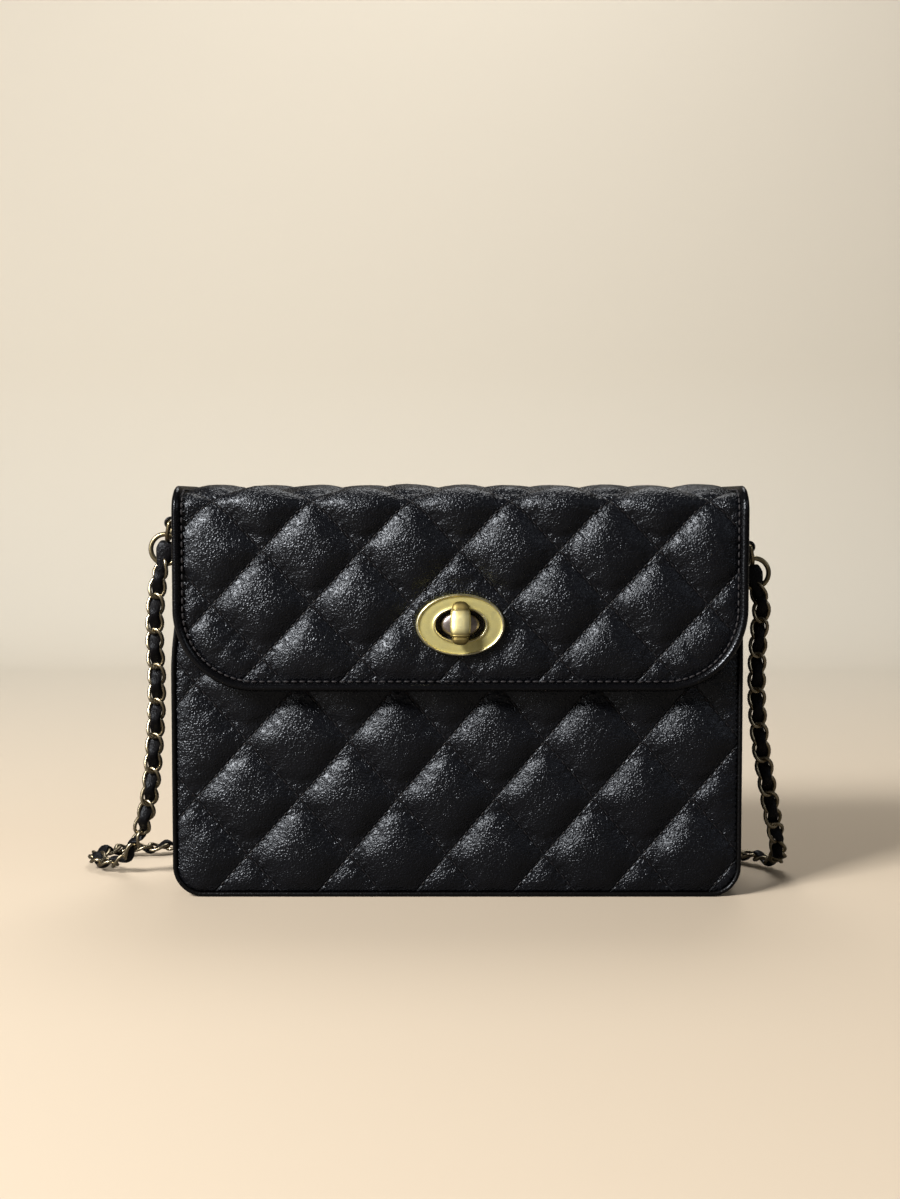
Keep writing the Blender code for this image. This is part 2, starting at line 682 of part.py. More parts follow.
def make_turn_knob():
    # A barrel turned about its long axis and pressed flatter from front to back
    half = KNOB_LENGTH / 2
    end_round = KNOB_END_ROUND_SHARE * half
    body = half - end_round
    steps = KNOB_OUTLINE_STEPS
    outline = [(0, half)]
    shoulder = knob_half_width(body / half) - end_round
    outline += [(shoulder + end_round * sin(t), body + end_round * cos(t))
                for t in (pi / 2 * i / steps for i in range(steps + 1))]
    outline += [(knob_half_width(body / half * i / steps), body * i / steps)
                for i in range(steps - 1, -1, -1)]
    outline += [(x, -z) for x, z in outline[-2::-1]]
    mesh = bpy.data.meshes.new("knob_outline")
    bm = bmesh.new()
    verts = [bm.verts.new((x, 0, z)) for x, z in outline]
    for first, second in zip(verts, verts[1:]):
        bm.edges.new((first, second))
    bm.to_mesh(mesh)
    bm.free()
    turned = bpy.data.objects.new("knob_outline", mesh)
    cutters.objects.link(turned)
    screw = turned.modifiers.new("turned", "SCREW")
    screw.steps = TURNED_STEPS
    screw.render_steps = TURNED_STEPS
    screw.use_merge_vertices = True
    screw.merge_threshold = GAP / 10
    evaluated = turned.evaluated_get(bpy.context.evaluated_depsgraph_get())
    barrel = bpy.data.meshes.new_from_object(evaluated)
    bpy.data.objects.remove(turned, do_unlink=True)
    barrel.transform(Matrix.Diagonal((1, KNOB_THICKNESS / KNOB_WIDTH, 1, 1)))
    barrel.name = "turn_knob"
    knob = add_part("turn_knob", barrel, "brass", KNOB,
                    (0, -(knob_inner + knob_outer) / 2, lock_height))
    combine(knob, rod_cutter("knob_neck", NECK_DIAMETER, boss_outer + GAP,
                             knob_inner + KNOB_THICKNESS / 2, KNOB), "UNION")

    washer_inner = stiffener_outer - WASHER_THICKNESS
    clip_outer = washer_inner - GAP
    clip_inner = clip_outer - CLIP_THICKNESS
    spindle = rod_mesh("knob_spindle", SPINDLE_DIAMETER, boss_outer - clip_inner)
    add_part("knob_spindle", spindle, "steel", KNOB,
             (0, -(boss_outer + clip_inner) / 2, lock_height), FACING_FRONT)
    ring = oval(CLIP_DIAMETER, CLIP_DIAMETER, steps=TURNED_STEPS)
    bore = oval(SPINDLE_DIAMETER + 2 * GAP, SPINDLE_DIAMETER + 2 * GAP, steps=TURNED_STEPS)
    data = outline_data("spindle_clip", [ring, bore], CLIP_THICKNESS)
    add_part("spindle_clip", data, "steel", KNOB,
             (0, -(clip_outer + clip_inner) / 2, lock_height), FACING_FRONT)


# Tabs and rings

round_ring_middle = ROUND_RING_DIAMETER / 2 - ROUND_RING_WIRE / 2
ring_centre_drop = (D_RING_DROP + round_ring_middle
                    - ROUND_RING_WIRE / 2 - D_RING_WIRE / 2 - RING_PLAY)
strap_start_drop = ring_centre_drop + ROUND_RING_DIAMETER / 2 + GAP


def make_tab(name, side, height):
    # A folded strip: an eye round the D-ring's bar, and a tail down the gusset
    hole = (D_RING_WIRE / 2 + TAB_HOLE_CLEARANCE)
    eye = hole + TAB_LEATHER
    wall = half_width + GAP
    tail = wall + TAB_TAIL_THICKNESS
    centre = (tab_side, height)
    loop = [(wall, height - TAB_TAIL_LENGTH), (tail, height - TAB_TAIL_LENGTH)]
    loop += [(tail, height - TAB_THROAT)]
    loop += arc(centre, eye, -TAB_EYE_TURN, TAB_EYE_TURN, 2 * ARC_STEPS)
    loop += [(wall, height - GAP)]
    bore = arc(centre, hole, 0, 2 * pi, 2 * ARC_STEPS)[:-1]
    loops = [[(side * across, up) for across, up in path] for path in (loop, bore)]
    data = outline_data(name, loops, TAB_WIDTH)
    add_part(name, data, "leather", CASE, facing=FACING_FRONT)


def make_rings(word, side, carrier):
    place = carrier[1]
    out = Vector((side * sin(RING_TILT), 0, -cos(RING_TILT)))
    across = Vector((0, 1, 0))
    turns = [2 * pi * i / RING_STEPS for i in range(RING_STEPS // 2 + 1)]
    bow = [place + across * (D_RING_WIDTH / 2 * cos(t)) + out * (D_RING_DROP * sin(t))
           for t in turns]
    data = tube_data(word + "_d_ring", bow, D_RING_WIRE, closed=True)
    add_part(word + "_d_ring", data, "ring_brass", carrier)

    centre = place + out * ring_centre_drop
    turns = [2 * pi * i / RING_STEPS for i in range(RING_STEPS)]
    circle = [centre + Vector((cos(t), 0, sin(t))) * round_ring_middle for t in turns]
    data = tube_data(word + "_round_ring", circle, ROUND_RING_WIRE, closed=True)
    add_part(word + "_round_ring", data, "ring_brass", carrier)
    return place + out * strap_start_drop + Vector((0, case_shift, 0)), out


# Strap: from the left ring down to the floor, out in a bend, behind the case in three
# runs with two folds, and round to the right ring. A route's rows are how far a point
# lies outwards from the strap's end, how far back from the case's middle, and its
# height as a share of the way from the floor up to that end.

LEFT_ROUTE = [
    (0.0029, 0.0000, 0.8489), (0.0031, 0.0000, 0.7449), (0.0025, 0.0000, 0.6409),
    (0.0029, 0.0000, 0.5128), (0.0043, 0.0003, 0.3688), (0.0061, 0.0018, 0.2568),
    (0.0098, 0.0058, 0.1488), (0.0158, 0.0113, 0.0528), (0.0223, 0.0148, 0.0072),
    (0.0288, 0.0188, 0.0000), (0.0333, 0.0258, 0.0000), (0.0338, 0.0353, 0.0000),
    (0.0298, 0.0438, 0.0000), (0.0223, 0.0478, 0.0000), (0.0143, 0.0483, 0.0000),
    (0.0063, 0.0513, 0.0000), (-0.0047, 0.0578, 0.0000), (-0.0187, 0.0633, 0.0000),
]
HANK_ROW_REACHES = (0.0368, 0.0818, 0.1268)
HANK_RIGHT = 0.060
HANK_LEFT = -0.085
RIGHT_ROUTE = [
    (-0.0417, 0.1543, 0.0000), (-0.0277, 0.1483, 0.0000), (-0.0187, 0.1363, 0.0000),
    (-0.0157, 0.1213, 0.0000), (-0.0155, 0.1043, 0.0000), (-0.0157, 0.0873, 0.0000),
    (-0.0155, 0.0713, 0.0000), (-0.0132, 0.0573, 0.0000), (-0.0072, 0.0443, 0.0000),
    (0.0003, 0.0353, 0.0000), (0.0073, 0.0273, 0.0000), (0.0113, 0.0193, 0.0052),
    (0.0118, 0.0118, 0.0399), (0.0098, 0.0058, 0.1223), (0.0068, 0.0018, 0.2264),
    (0.0042, 0.0003, 0.3392), (0.0018, 0.0000, 0.4606), (0.0003, 0.0000, 0.5820),
    (0.0000, 0.0000, 0.7121), (0.0005, 0.0000, 0.8336),
]


def side_route(rows, end, side):
    return [(end[0] + side * out, case_shift + back,
             strap_floor + share * (end[2] - strap_floor)) for out, back, share in rows]


def hank_route():
    # Three level runs joined by two half turns. The first and the last run are straight
    # where the strap's stretches meet.
    floor = strap_floor
    back = case_shift + case_half
    near, middle, far = [back + reach for reach in HANK_ROW_REACHES]
    turns = [pi * i / ARC_STEPS for i in range(ARC_STEPS + 1)]
    radius = STRAP_FOLD_RADIUS
    right = [(HANK_RIGHT + radius * sin(t), (near + middle) / 2 - radius * cos(t), floor)
             for t in turns]
    left = [(HANK_LEFT - radius * sin(t), (middle + far) / 2 - radius * cos(t), floor)
            for t in turns]
    entry = [(HANK_LEFT + radius * i, near, floor) for i in range(4)]
    leave = [(HANK_RIGHT - radius * i, far, floor) for i in (3, 2, 1, 0)]
    return entry + right + [(0, middle, floor)] + left + leave


def smooth_path(points):
    # A fine curve through the route's points, with its running length
    places = [Vector(point) for point in points]
    places = [2 * places[0] - places[1]] + places + [2 * places[-1] - places[-2]]
    fine = []
    for before, start, end, after in zip(places, places[1:], places[2:], places[3:]):
        for i in range(STRAP_CURVE_STEPS):
            t = i / STRAP_CURVE_STEPS
            fine.append(0.5 * (2 * start + (end - before) * t
                               + (2 * before - 5 * start + 4 * end - after) * t ** 2
                               + (3 * start - before - 3 * end + after) * t ** 3))
    fine.append(places[-2])
    run = [0.0]
    for start, end in zip(fine, fine[1:]):
        run.append(run[-1] + (end - start).length)
    return fine, run


def path_between(fine, run, start, end, spacing):
    count = max(2, round((end - start) / spacing))
    picked = []
    index = 0
    for i in range(count + 1):
        goal = start + (end - start) * i / count
        while index < len(run) - 2 and run[index + 1] < goal:
            index += 1
        share = (goal - run[index]) / (run[index + 1] - run[index])
        picked.append(fine[index].lerp(fine[index + 1], share))
    return picked


def nearest_run(fine, run, place):
    target = Vector(place)
    return min(zip(run, fine), key=lambda item: (item[1] - target).length)[0]


def make_strap(left_end, left_out, right_end, right_out):
    left = [left_end, left_end + left_out * STRAP_LEAD]
    right = [right_end + right_out * STRAP_LEAD, right_end]
    route = (left + side_route(LEFT_ROUTE, left_end, -1) + hank_route()
             + side_route(RIGHT_ROUTE, right_end, 1) + right)
    fine, run = smooth_path(route)
    first = nearest_run(fine, run, hank_route()[2])
    last = nearest_run(fine, run, hank_route()[-3])
    stretches = [("strap_left", 0, first - GAP / 2),
                 ("strap_hank", first + GAP / 2, last - GAP / 2),
                 ("strap_right", last + GAP / 2, run[-1])]
    for name, start, end in stretches:
        points = path_between(fine, run, start, end, STRAP_POINT_SPACING)
        piece = bpy.data.objects.new(name, tube_data(name, points, STRAP_DIAMETER))
        parts.objects.link(piece)
        give_finish(piece, "ring_brass")
    print("strap length", round(run[-1], 4), "m")

    hank = path_between(fine, run, first, last, STRAP_DIAMETER)
    apart = STRAP_NEAR_DIAMETERS * STRAP_DIAMETER
    gaps = [(hank[i] - hank[j]).length for i in range(len(hank))
            for j in range(i) if (i - j) * STRAP_DIAMETER > apart]
    print("least gap in the hank", round((min(gaps) - STRAP_DIAMETER) * 1000, 2), "mm")


make_case()
make_mouth_binding()
make_flap_top()
make_flap_front()
make_lock_plate()
make_lock_base()
make_turn_knob()
make_tab("left_tab", -1, left_tab_height)
make_tab("right_tab", 1, right_tab_height)
left_end, left_out = make_rings("left", -1, LEFT)
right_end, right_out = make_rings("right", 1, RIGHT)
make_strap(left_end, left_out, right_end, right_out)
print("case shift", round(case_shift * 1000, 3), "mm")
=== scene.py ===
import bpy
import numpy as np
from math import atan2, cos, pi, radians, sin, sqrt
from mathutils import Matrix, Vector, noise


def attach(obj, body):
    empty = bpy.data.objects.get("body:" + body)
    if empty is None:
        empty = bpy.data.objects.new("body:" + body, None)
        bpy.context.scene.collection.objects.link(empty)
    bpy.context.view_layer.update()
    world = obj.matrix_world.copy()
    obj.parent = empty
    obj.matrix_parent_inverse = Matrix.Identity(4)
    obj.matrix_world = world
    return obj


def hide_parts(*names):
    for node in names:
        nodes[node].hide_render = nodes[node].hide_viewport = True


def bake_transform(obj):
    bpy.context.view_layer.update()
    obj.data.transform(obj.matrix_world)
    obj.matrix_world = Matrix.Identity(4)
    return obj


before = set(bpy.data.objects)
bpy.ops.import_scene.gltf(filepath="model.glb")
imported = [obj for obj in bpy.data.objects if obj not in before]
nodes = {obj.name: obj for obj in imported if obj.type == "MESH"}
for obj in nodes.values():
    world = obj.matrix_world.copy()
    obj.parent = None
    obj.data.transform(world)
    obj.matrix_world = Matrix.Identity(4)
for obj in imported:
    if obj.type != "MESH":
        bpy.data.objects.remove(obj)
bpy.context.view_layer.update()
scene = bpy.context.scene

# Levels are metres in front of the case's middle, which lies a little behind the origin
caseMiddle = 0.0077


# Helpers for modelling

def freshStart():
    if bpy.context.object and bpy.context.object.mode != "OBJECT":
        bpy.ops.object.mode_set(mode="OBJECT")
    bpy.ops.object.select_all(action="DESELECT")


def pick(piece):
    freshStart()
    piece.select_set(True)
    bpy.context.view_layer.objects.active = piece


def enterEdit(piece, action="SELECT", kind="VERT"):
    pick(piece)
    bpy.ops.object.mode_set(mode="EDIT")
    bpy.ops.mesh.select_mode(type=kind)
    bpy.ops.mesh.select_all(action=action)


def leaveEdit(outwards=False):
    if outwards:
        bpy.ops.mesh.select_all(action="SELECT")
        bpy.ops.mesh.normals_make_consistent(inside=False)
    bpy.ops.mesh.select_mode(type="VERT")
    bpy.ops.object.mode_set(mode="OBJECT")


def applyModifiers(piece):
    pick(piece)
    for modifier in list(piece.modifiers):
        bpy.ops.object.modifier_apply(modifier=modifier.name)


def faceOut(piece):
    enterEdit(piece)
    bpy.ops.mesh.remove_doubles(threshold=0.00002)
    leaveEdit(outwards=True)


def smooth(piece, angle=None):
    pick(piece)
    if angle is None:
        bpy.ops.object.shade_smooth()
    else:
        bpy.ops.object.shade_smooth_by_angle(angle=radians(angle))


def wrapGrid(name, place, around, along, closeAround=False, closeAlong=False, capped=False):
    # A flat grid is wrapped over a shape: place(s, t) gives the point for s across, t along
    freshStart()
    bpy.ops.mesh.primitive_grid_add(x_subdivisions=around, y_subdivisions=along, size=2)
    piece = bpy.context.object
    piece.name = name
    last = 0.9999
    for vert in piece.data.vertices:
        s = (vert.co.x + 1) / 2
        t = (vert.co.y + 1) / 2
        vert.co = place(0.0 if closeAround and s > last else s, 0.0 if closeAlong and t > last else t)
    faceOut(piece)
    if capped:
        enterEdit(piece, "DESELECT", "EDGE")
        bpy.ops.mesh.select_non_manifold()
        bpy.ops.mesh.edge_face_add()
        leaveEdit(outwards=True)
    smooth(piece)
    return piece


def thicken(piece, thickness):
    solidify = piece.modifiers.new("Thickness", "SOLIDIFY")
    solidify.thickness = thickness
    solidify.offset = -1.0
    applyModifiers(piece)


def copiesOf(template, matrices, name):
    # One small shape, copied to every place; the copies are then joined into one piece
    freshStart()
    template.name = name
    for matrix in matrices[1:]:
        copy = template.copy()
        copy.data = template.data.copy()
        copy.data.transform(matrix)
        scene.collection.objects.link(copy)
        copy.select_set(True)
    template.data.transform(matrices[0])
    template.select_set(True)
    bpy.context.view_layer.objects.active = template
    bpy.ops.object.join()
    smooth(template)
    return template


def setMaterial(piece, material):
    piece.data.materials.clear()
    piece.data.materials.append(material)


def finish(piece, material, body, slot, *replaced):
    # Material, body and the solids that the piece stands for; the slot is not used
    setMaterial(piece, material)
    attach(piece, body)
    if replaced:
        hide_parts(*replaced)


def ripple(size, x, y, z):
    return size * noise.noise(Vector((x, y, z)))


def squared(value, power):
    # Makes a sine or cosine fuller, so that a circle becomes a rounded square
    return np.sign(value) * abs(value) ** power


# Camera

camSpec = {"place": (-0.0040, -0.6662, 0.1558), "pitch": 3.42, "focal": 50.0, "longSide": 36.0}

freshStart()
bpy.ops.object.camera_add(location=camSpec["place"], rotation=(radians(90 - camSpec["pitch"]), 0, 0))
camera = bpy.context.object
camera.data.sensor_fit = "VERTICAL"
camera.data.sensor_height = camSpec["longSide"]
camera.data.lens = camSpec["focal"]
camera.data.clip_start = 0.01
scene.camera = camera
print("camera placed")


# Shader nodes

def addNode(tree, kind, inputs=None, **settings):
    node = tree.nodes.new(kind)
    for key, value in settings.items():
        setattr(node, key, value)
    for key, value in (inputs or {}).items():
        if isinstance(value, bpy.types.NodeSocket):
            tree.links.new(value, node.inputs[key])
        else:
            node.inputs[key].default_value = value
    return node


def maths(tree, operation, *values):
    return addNode(tree, "ShaderNodeMath", dict(enumerate(values)), operation=operation).outputs[0]


def remap(tree, value, fromLow, fromHigh, toLow=0.0, toHigh=1.0):
    values = {0: value, 1: fromLow, 2: fromHigh, 3: toLow, 4: toHigh}
    return addNode(tree, "ShaderNodeMapRange", values).outputs[0]


def mixColour(tree, factor, first, second):
    return addNode(tree, "ShaderNodeMix", {0: factor, 6: first, 7: second}, data_type="RGBA").outputs[2]


def mixedNoise(tree, vector, scale, detail, roughness=0.5, distortion=0.0):
    return addNode(tree, "ShaderNodeTexNoise", {"Vector": vector, "Scale": scale, "Detail": detail,
                                                "Roughness": roughness, "Distortion": distortion})


def feed(tree, inputs, values):
    for key, value in values.items():
        tree.links.new(value, inputs[key])


def newGroup(name, inputs, outputs):
    # An input without a value is a vector; all the others, and the outputs, are numbers
    tree = bpy.data.node_groups.new(name, "ShaderNodeTree")
    for word, value in inputs.items():
        kind = "NodeSocketVector" if value is None else "NodeSocketFloat"
        socket = tree.interface.new_socket(word, in_out="INPUT", socket_type=kind)
        if value is not None:
            socket.default_value = value
    for word in outputs:
        tree.interface.new_socket(word, in_out="OUTPUT", socket_type="NodeSocketFloat")
    return tree, tree.nodes.new("NodeGroupInput").outputs, tree.nodes.new("NodeGroupOutput").inputs


def newMaterial(name, colour, roughness, metallic=0.0):
    material = bpy.data.materials.new(name)
    material.use_nodes = True
    shader = material.node_tree.nodes["Principled BSDF"]
    shader.inputs["Base Color"].default_value = (*colour, 1)
    shader.inputs["Roughness"].default_value = roughness
    shader.inputs["Metallic"].default_value = metallic
    material.diffuse_color = (*colour, 1)
    return material, material.node_tree, shader.inputs


def objectCoords(tree):
    return addNode(tree, "ShaderNodeTexCoord").outputs["Object"]


def bumped(tree, strength, distance, height):
    values = {"Strength": strength, "Distance": distance, "Height": height}
    return addNode(tree, "ShaderNodeBump", values).outputs[0]


def makeGrainGroup():
    # Pebbled leather: rounded cells with fine creases between them, and slow unevenness
    tree, given, out = newGroup("leatherGrain", {"Vector": None, "Scale": 900.0, "Crease": 0.5},
                                ("Height", "Tone"))
    vector = given["Vector"]
    wander = 0.0022
    bend = mixedNoise(tree, vector, 220.0, 2.0).outputs["Color"]
    bent = addNode(tree, "ShaderNodeVectorMath", {0: bend, 1: (wander, wander, wander)},
                   operation="MULTIPLY").outputs[0]
    moved = addNode(tree, "ShaderNodeVectorMath", {0: vector, 1: bent}, operation="ADD").outputs[0]
    cellValues = {"Vector": moved, "Scale": given["Scale"], "Randomness": 1.0, "Smoothness": 0.55}
    cells = addNode(tree, "ShaderNodeTexVoronoi", cellValues, feature="SMOOTH_F1")
    pebble = remap(tree, cells.outputs["Distance"], 0.20, 0.60, 1.0, 0.0)
    fine = mixedNoise(tree, vector, 2600.0, 3.0, 0.6).outputs[0]
    slow = mixedNoise(tree, vector, 95.0, 3.0).outputs[0]
    drawn = addNode(tree, "ShaderNodeMapping", {"Vector": moved, "Scale": (0.55, 1.0, 1.15)}).outputs[0]
    wave = mixedNoise(tree, drawn, 620.0, 3.0, 0.55, 1.6).outputs[0]
    height = maths(tree, "MULTIPLY_ADD", fine, 0.22, maths(tree, "MULTIPLY", pebble, 0.75))
    feed(tree, out, {"Height": maths(tree, "ADD", height, maths(tree, "MULTIPLY", wave, given["Crease"])),
                     "Tone": maths(tree, "MULTIPLY_ADD", slow, 0.6, maths(tree, "MULTIPLY", pebble, 0.4))})
    return tree


def makeSeamGroup():
    # Quilting seams on the piece's own UV map, whose whole numbers are the seams
    tree, given, out = newGroup("quiltSeams", {"UV": None, "Stitches": 9.0}, ("Thread", "Groove", "Pucker"))
    parts = addNode(tree, "ShaderNodeSeparateXYZ", {0: given["UV"]}).outputs
    dashLength, threadWidth, grooveWidth, puckerNear, puckerFar = 0.34, 0.012, 0.022, 0.015, 0.13
    threads, grooves, puckers = [], [], []
    for across, along in ((0, 1), (1, 0)):
        value = parts[across]
        away = maths(tree, "ABSOLUTE", maths(tree, "SUBTRACT", value, maths(tree, "ROUND", value)))
        run = maths(tree, "FRACT", maths(tree, "MULTIPLY", parts[along], given["Stitches"]))
        dash = maths(tree, "COMPARE", run, 0.5, dashLength)
        threads.append(maths(tree, "MULTIPLY", dash, maths(tree, "LESS_THAN", away, threadWidth)))
        grooves.append(remap(tree, away, 0.0, grooveWidth, 1.0, 0.0))
        near = remap(tree, away, puckerNear, puckerFar, 1.0, 0.0)
        pulls = maths(tree, "COSINE", maths(tree, "MULTIPLY", run, 2 * pi))
        puckers.append(maths(tree, "MULTIPLY", near, pulls))
    feed(tree, out, {"Thread": maths(tree, "MAXIMUM", *threads), "Groove": maths(tree, "MAXIMUM", *grooves),
                     "Pucker": maths(tree, "ADD", *puckers)})
    return tree


def makeWearGroup():
    # Rubbed and dulled patches of old brass
    tree, given, out = newGroup("brassWear", {"Vector": None, "Scale": 300.0}, ("Dull", "Scratch"))
    patches = mixedNoise(tree, given["Vector"], given["Scale"], 5.0, 0.65).outputs[0]
    squeeze = addNode(tree, "ShaderNodeMapping", {"Vector": given["Vector"], "Scale": (0.25, 1.0, 3.2)})
    lines = mixedNoise(tree, squeeze.outputs[0], 2400.0, 3.0, 0.7).outputs[0]
    feed(tree, out, {"Dull": remap(tree, patches, 0.38, 0.68), "Scratch": lines})
    return tree


grainGroup = makeGrainGroup()
seamGroup = makeSeamGroup()
wearGroup = makeWearGroup()

leatherSpec = {
    "quilt": {"colour": (0.0018, 0.0020, 0.0034), "pale": (0.0046, 0.0050, 0.0078), "scale": 1250.0,
              "crease": 0.6, "bump": 0.00019, "rough": (0.25, 0.33), "gloss": 0.52},
    "smooth": {"colour": (0.0018, 0.0018, 0.0024), "pale": (0.0044, 0.0044, 0.0054), "scale": 1150.0,
               "crease": 0.5, "bump": 0.00005, "rough": (0.17, 0.24), "gloss": 0.34},
    "piping": {"colour": (0.0020, 0.0018, 0.0018), "pale": (0.0050, 0.0042, 0.0040), "scale": 1150.0,
               "crease": 0.3, "bump": 0.00006, "rough": (0.26, 0.36), "gloss": 0.26},
    "ribbon": {"colour": (0.0020, 0.0017, 0.0022), "pale": (0.0050, 0.0042, 0.0052), "scale": 1300.0,
               "crease": 0.3, "bump": 0.00012, "rough": (0.34, 0.50), "gloss": 0.20},
}
# The groove colour, mixed in by grooveShade, is painted shade in the seam grooves
seamSpec = {"stitches": 9, "groove": (0.002, 0.002, 0.0025, 1), "thread": (0.008, 0.0075, 0.009, 1),
            "grooveShade": 0.75, "grooveRough": 0.8, "grooveDepth": -2.2, "puckerDepth": 0.55}
coolShine = (0.82, 0.89, 1.0, 1)


def makeLeather(name):
    spec = leatherSpec[name]
    material, tree, shader = newMaterial(name + "Leather", spec["colour"], 0.4)
    grain = addNode(tree, "ShaderNodeGroup", {"Vector": objectCoords(tree), "Scale": spec["scale"],
                                              "Crease": spec["crease"]}, node_tree=grainGroup).outputs
    tone = remap(tree, grain["Tone"], 0.25, 0.85)
    colour = mixColour(tree, tone, (*spec["colour"], 1), (*spec["pale"], 1))
    height = grain["Height"]
    rough = remap(tree, grain["Tone"], 0.2, 0.8, spec["rough"][1], spec["rough"][0])
    if name == "quilt":
        uv = addNode(tree, "ShaderNodeUVMap", uv_map="seamLines").outputs[0]
        seam = addNode(tree, "ShaderNodeGroup", {"UV": uv, "Stitches": seamSpec["stitches"]},
                       node_tree=seamGroup).outputs
        # Painted shade: the colour darkens towards the seam grooves
        shade = maths(tree, "MULTIPLY", seam["Groove"], seamSpec["grooveShade"])
        colour = mixColour(tree, shade, colour, seamSpec["groove"])
        colour = mixColour(tree, seam["Thread"], colour, seamSpec["thread"])
        grooveRough = maths(tree, "MULTIPLY", seam["Groove"], seamSpec["grooveRough"])
        rough = maths(tree, "MAXIMUM", rough, grooveRough)
        height = maths(tree, "MULTIPLY_ADD", seam["Groove"], seamSpec["grooveDepth"], height)
        height = maths(tree, "MULTIPLY_ADD", seam["Pucker"], seamSpec["puckerDepth"], height)
    feed(tree, shader, {"Base Color": colour, "Roughness": rough,
                        "Normal": bumped(tree, 1.0, spec["bump"], height)})
    shader["Specular IOR Level"].default_value = spec["gloss"]
    shader["Specular Tint"].default_value = coolShine
    return material


brassSpec = {
    "lock": {"colour": (0.86, 0.79, 0.38), "dull": (0.76, 0.68, 0.30), "rough": (0.54, 0.66), "scale": 420},
    # This brass is a lighter copy of the lock brass: a painted highlight on the plate's raised rims, with a
    # smoother polish
    "rim": {"colour": (0.96, 0.90, 0.66), "dull": (0.88, 0.80, 0.50), "rough": (0.28, 0.40), "scale": 420},
    # The knob's last two entries paint light: a bright middle band as painted highlight and darker ends as
    # painted shade
    "knob": {"colour": (0.97, 0.89, 0.50), "dull": (0.92, 0.81, 0.40), "rough": (0.48, 0.58), "scale": 420,
             "highlightBand": (0.1096, 0.0022, 0.0052), "endShade": (0.30, 0.235, 0.09)},
    "boss": {"colour": (0.54, 0.48, 0.48), "dull": (0.30, 0.26, 0.27), "rough": (0.30, 0.46), "scale": 500},
    "ring": {"colour": (0.50, 0.43, 0.27), "dull": (0.27, 0.22, 0.13), "rough": (0.24, 0.44), "scale": 420},
    "chain": {"colour": (0.56, 0.49, 0.35), "dull": (0.28, 0.23, 0.15), "rough": (0.22, 0.40), "scale": 500},
}


def makeBrass(name):
    spec = brassSpec[name]
    material, tree, shader = newMaterial(name + "Brass", spec["colour"], 0.3, 1.0)
    wear = addNode(tree, "ShaderNodeGroup", {"Vector": objectCoords(tree), "Scale": spec["scale"]},
                   node_tree=wearGroup).outputs
    colour = mixColour(tree, wear["Dull"], (*spec["colour"], 1), (*spec["dull"], 1))
    if "highlightBand" in spec:
        # Painted light: the middle band keeps the bright brass as a painted highlight and the ends turn to
        # the darker colour as painted shade
        height = addNode(tree, "ShaderNodeSeparateXYZ", {0: objectCoords(tree)}).outputs[2]
        middle, near, far = spec["highlightBand"]
        away = maths(tree, "ABSOLUTE", maths(tree, "SUBTRACT", height, middle))
        colour = mixColour(tree, remap(tree, away, near, far), colour, (*spec["endShade"], 1))
    rough = remap(tree, wear["Dull"], 0.0, 1.0, *spec["rough"])
    feed(tree, shader, {"Base Color": colour, "Roughness": rough,
                        "Normal": bumped(tree, 0.5, 0.00006, wear["Scratch"])})
    return material


def makeCloth(name, colour, pale, threads):
    # Plain weave: two crossed waves with a little unevenness
    material, tree, shader = newMaterial(name, colour, 0.82)
    parts = addNode(tree, "ShaderNodeSeparateXYZ", {0: objectCoords(tree)}).outputs
    side = maths(tree, "ADD", parts[0], parts[1])
    warp = maths(tree, "SINE", maths(tree, "MULTIPLY", side, threads))
    weft = maths(tree, "SINE", maths(tree, "MULTIPLY", parts[2], threads))
    uneven = mixedNoise(tree, objectCoords(tree), 700.0, 3.0).outputs[0]
    height = maths(tree, "MULTIPLY_ADD", maths(tree, "MULTIPLY", warp, weft), 0.5, uneven)
    tone = remap(tree, height, -0.1, 1.0)
    feed(tree, shader, {"Base Color": mixColour(tree, tone, (*colour, 1), (*pale, 1)),
                        "Normal": bumped(tree, 0.8, 0.00012, height),
                        "Roughness": remap(tree, tone, 0.0, 1.0, 0.92, 0.74)})
    shader["Sheen Weight"].default_value = 0.15
    return material


def makePlain(name, colour, pale, roughness, metallic, scale):
    material, tree, shader = newMaterial(name, colour, roughness, metallic)
    patches = mixedNoise(tree, objectCoords(tree), scale, 5.0, 0.6).outputs[0]
    spread = 0.08
    feed(tree, shader, {"Base Color": mixColour(tree, patches, (*colour, 1), (*pale, 1)),
                        "Roughness": remap(tree, patches, 0.3, 0.7, roughness - spread, roughness + spread),
                        "Normal": bumped(tree, 0.4, 0.0001, patches)})
    return material


leather = {name: makeLeather(name) for name in leatherSpec}
brass = {name: makeBrass(name) for name in brassSpec}
liningCloth = makeCloth("liningCloth", (0.030, 0.028, 0.030), (0.062, 0.058, 0.060), 5200.0)
seamThread = makePlain("thread", (0.006, 0.0055, 0.007), (0.016, 0.015, 0.018), 0.42, 0.0, 3000.0)
edgeThread = makePlain("edgeThread", (0.015, 0.0145, 0.017), (0.040, 0.038, 0.044), 0.50, 0.0, 3000.0)
board = makePlain("greyBoard", (0.30, 0.26, 0.20), (0.42, 0.37, 0.29), 0.88, 0.0, 400.0)
steel = makePlain("brushedSteel", (0.45, 0.45, 0.46), (0.62, 0.62, 0.63), 0.34, 1.0, 900.0)
for material in (seamThread, edgeThread):
    material.node_tree.nodes["Principled BSDF"].inputs["Specular IOR Level"].default_value = 0.25

for material, names in ((board, ("front_stiffener", "back_stiffener", "base_board")),
                        (steel, ("lock_back_washer", "knob_spindle", "spindle_clip")),
                        (brass["lock"], ("lock_plate_backing",))):
    for name in names:
        setMaterial(nodes[name], material)
print("materials ready")


# Chain strap: two cords that meet in the middle of the hank behind the case

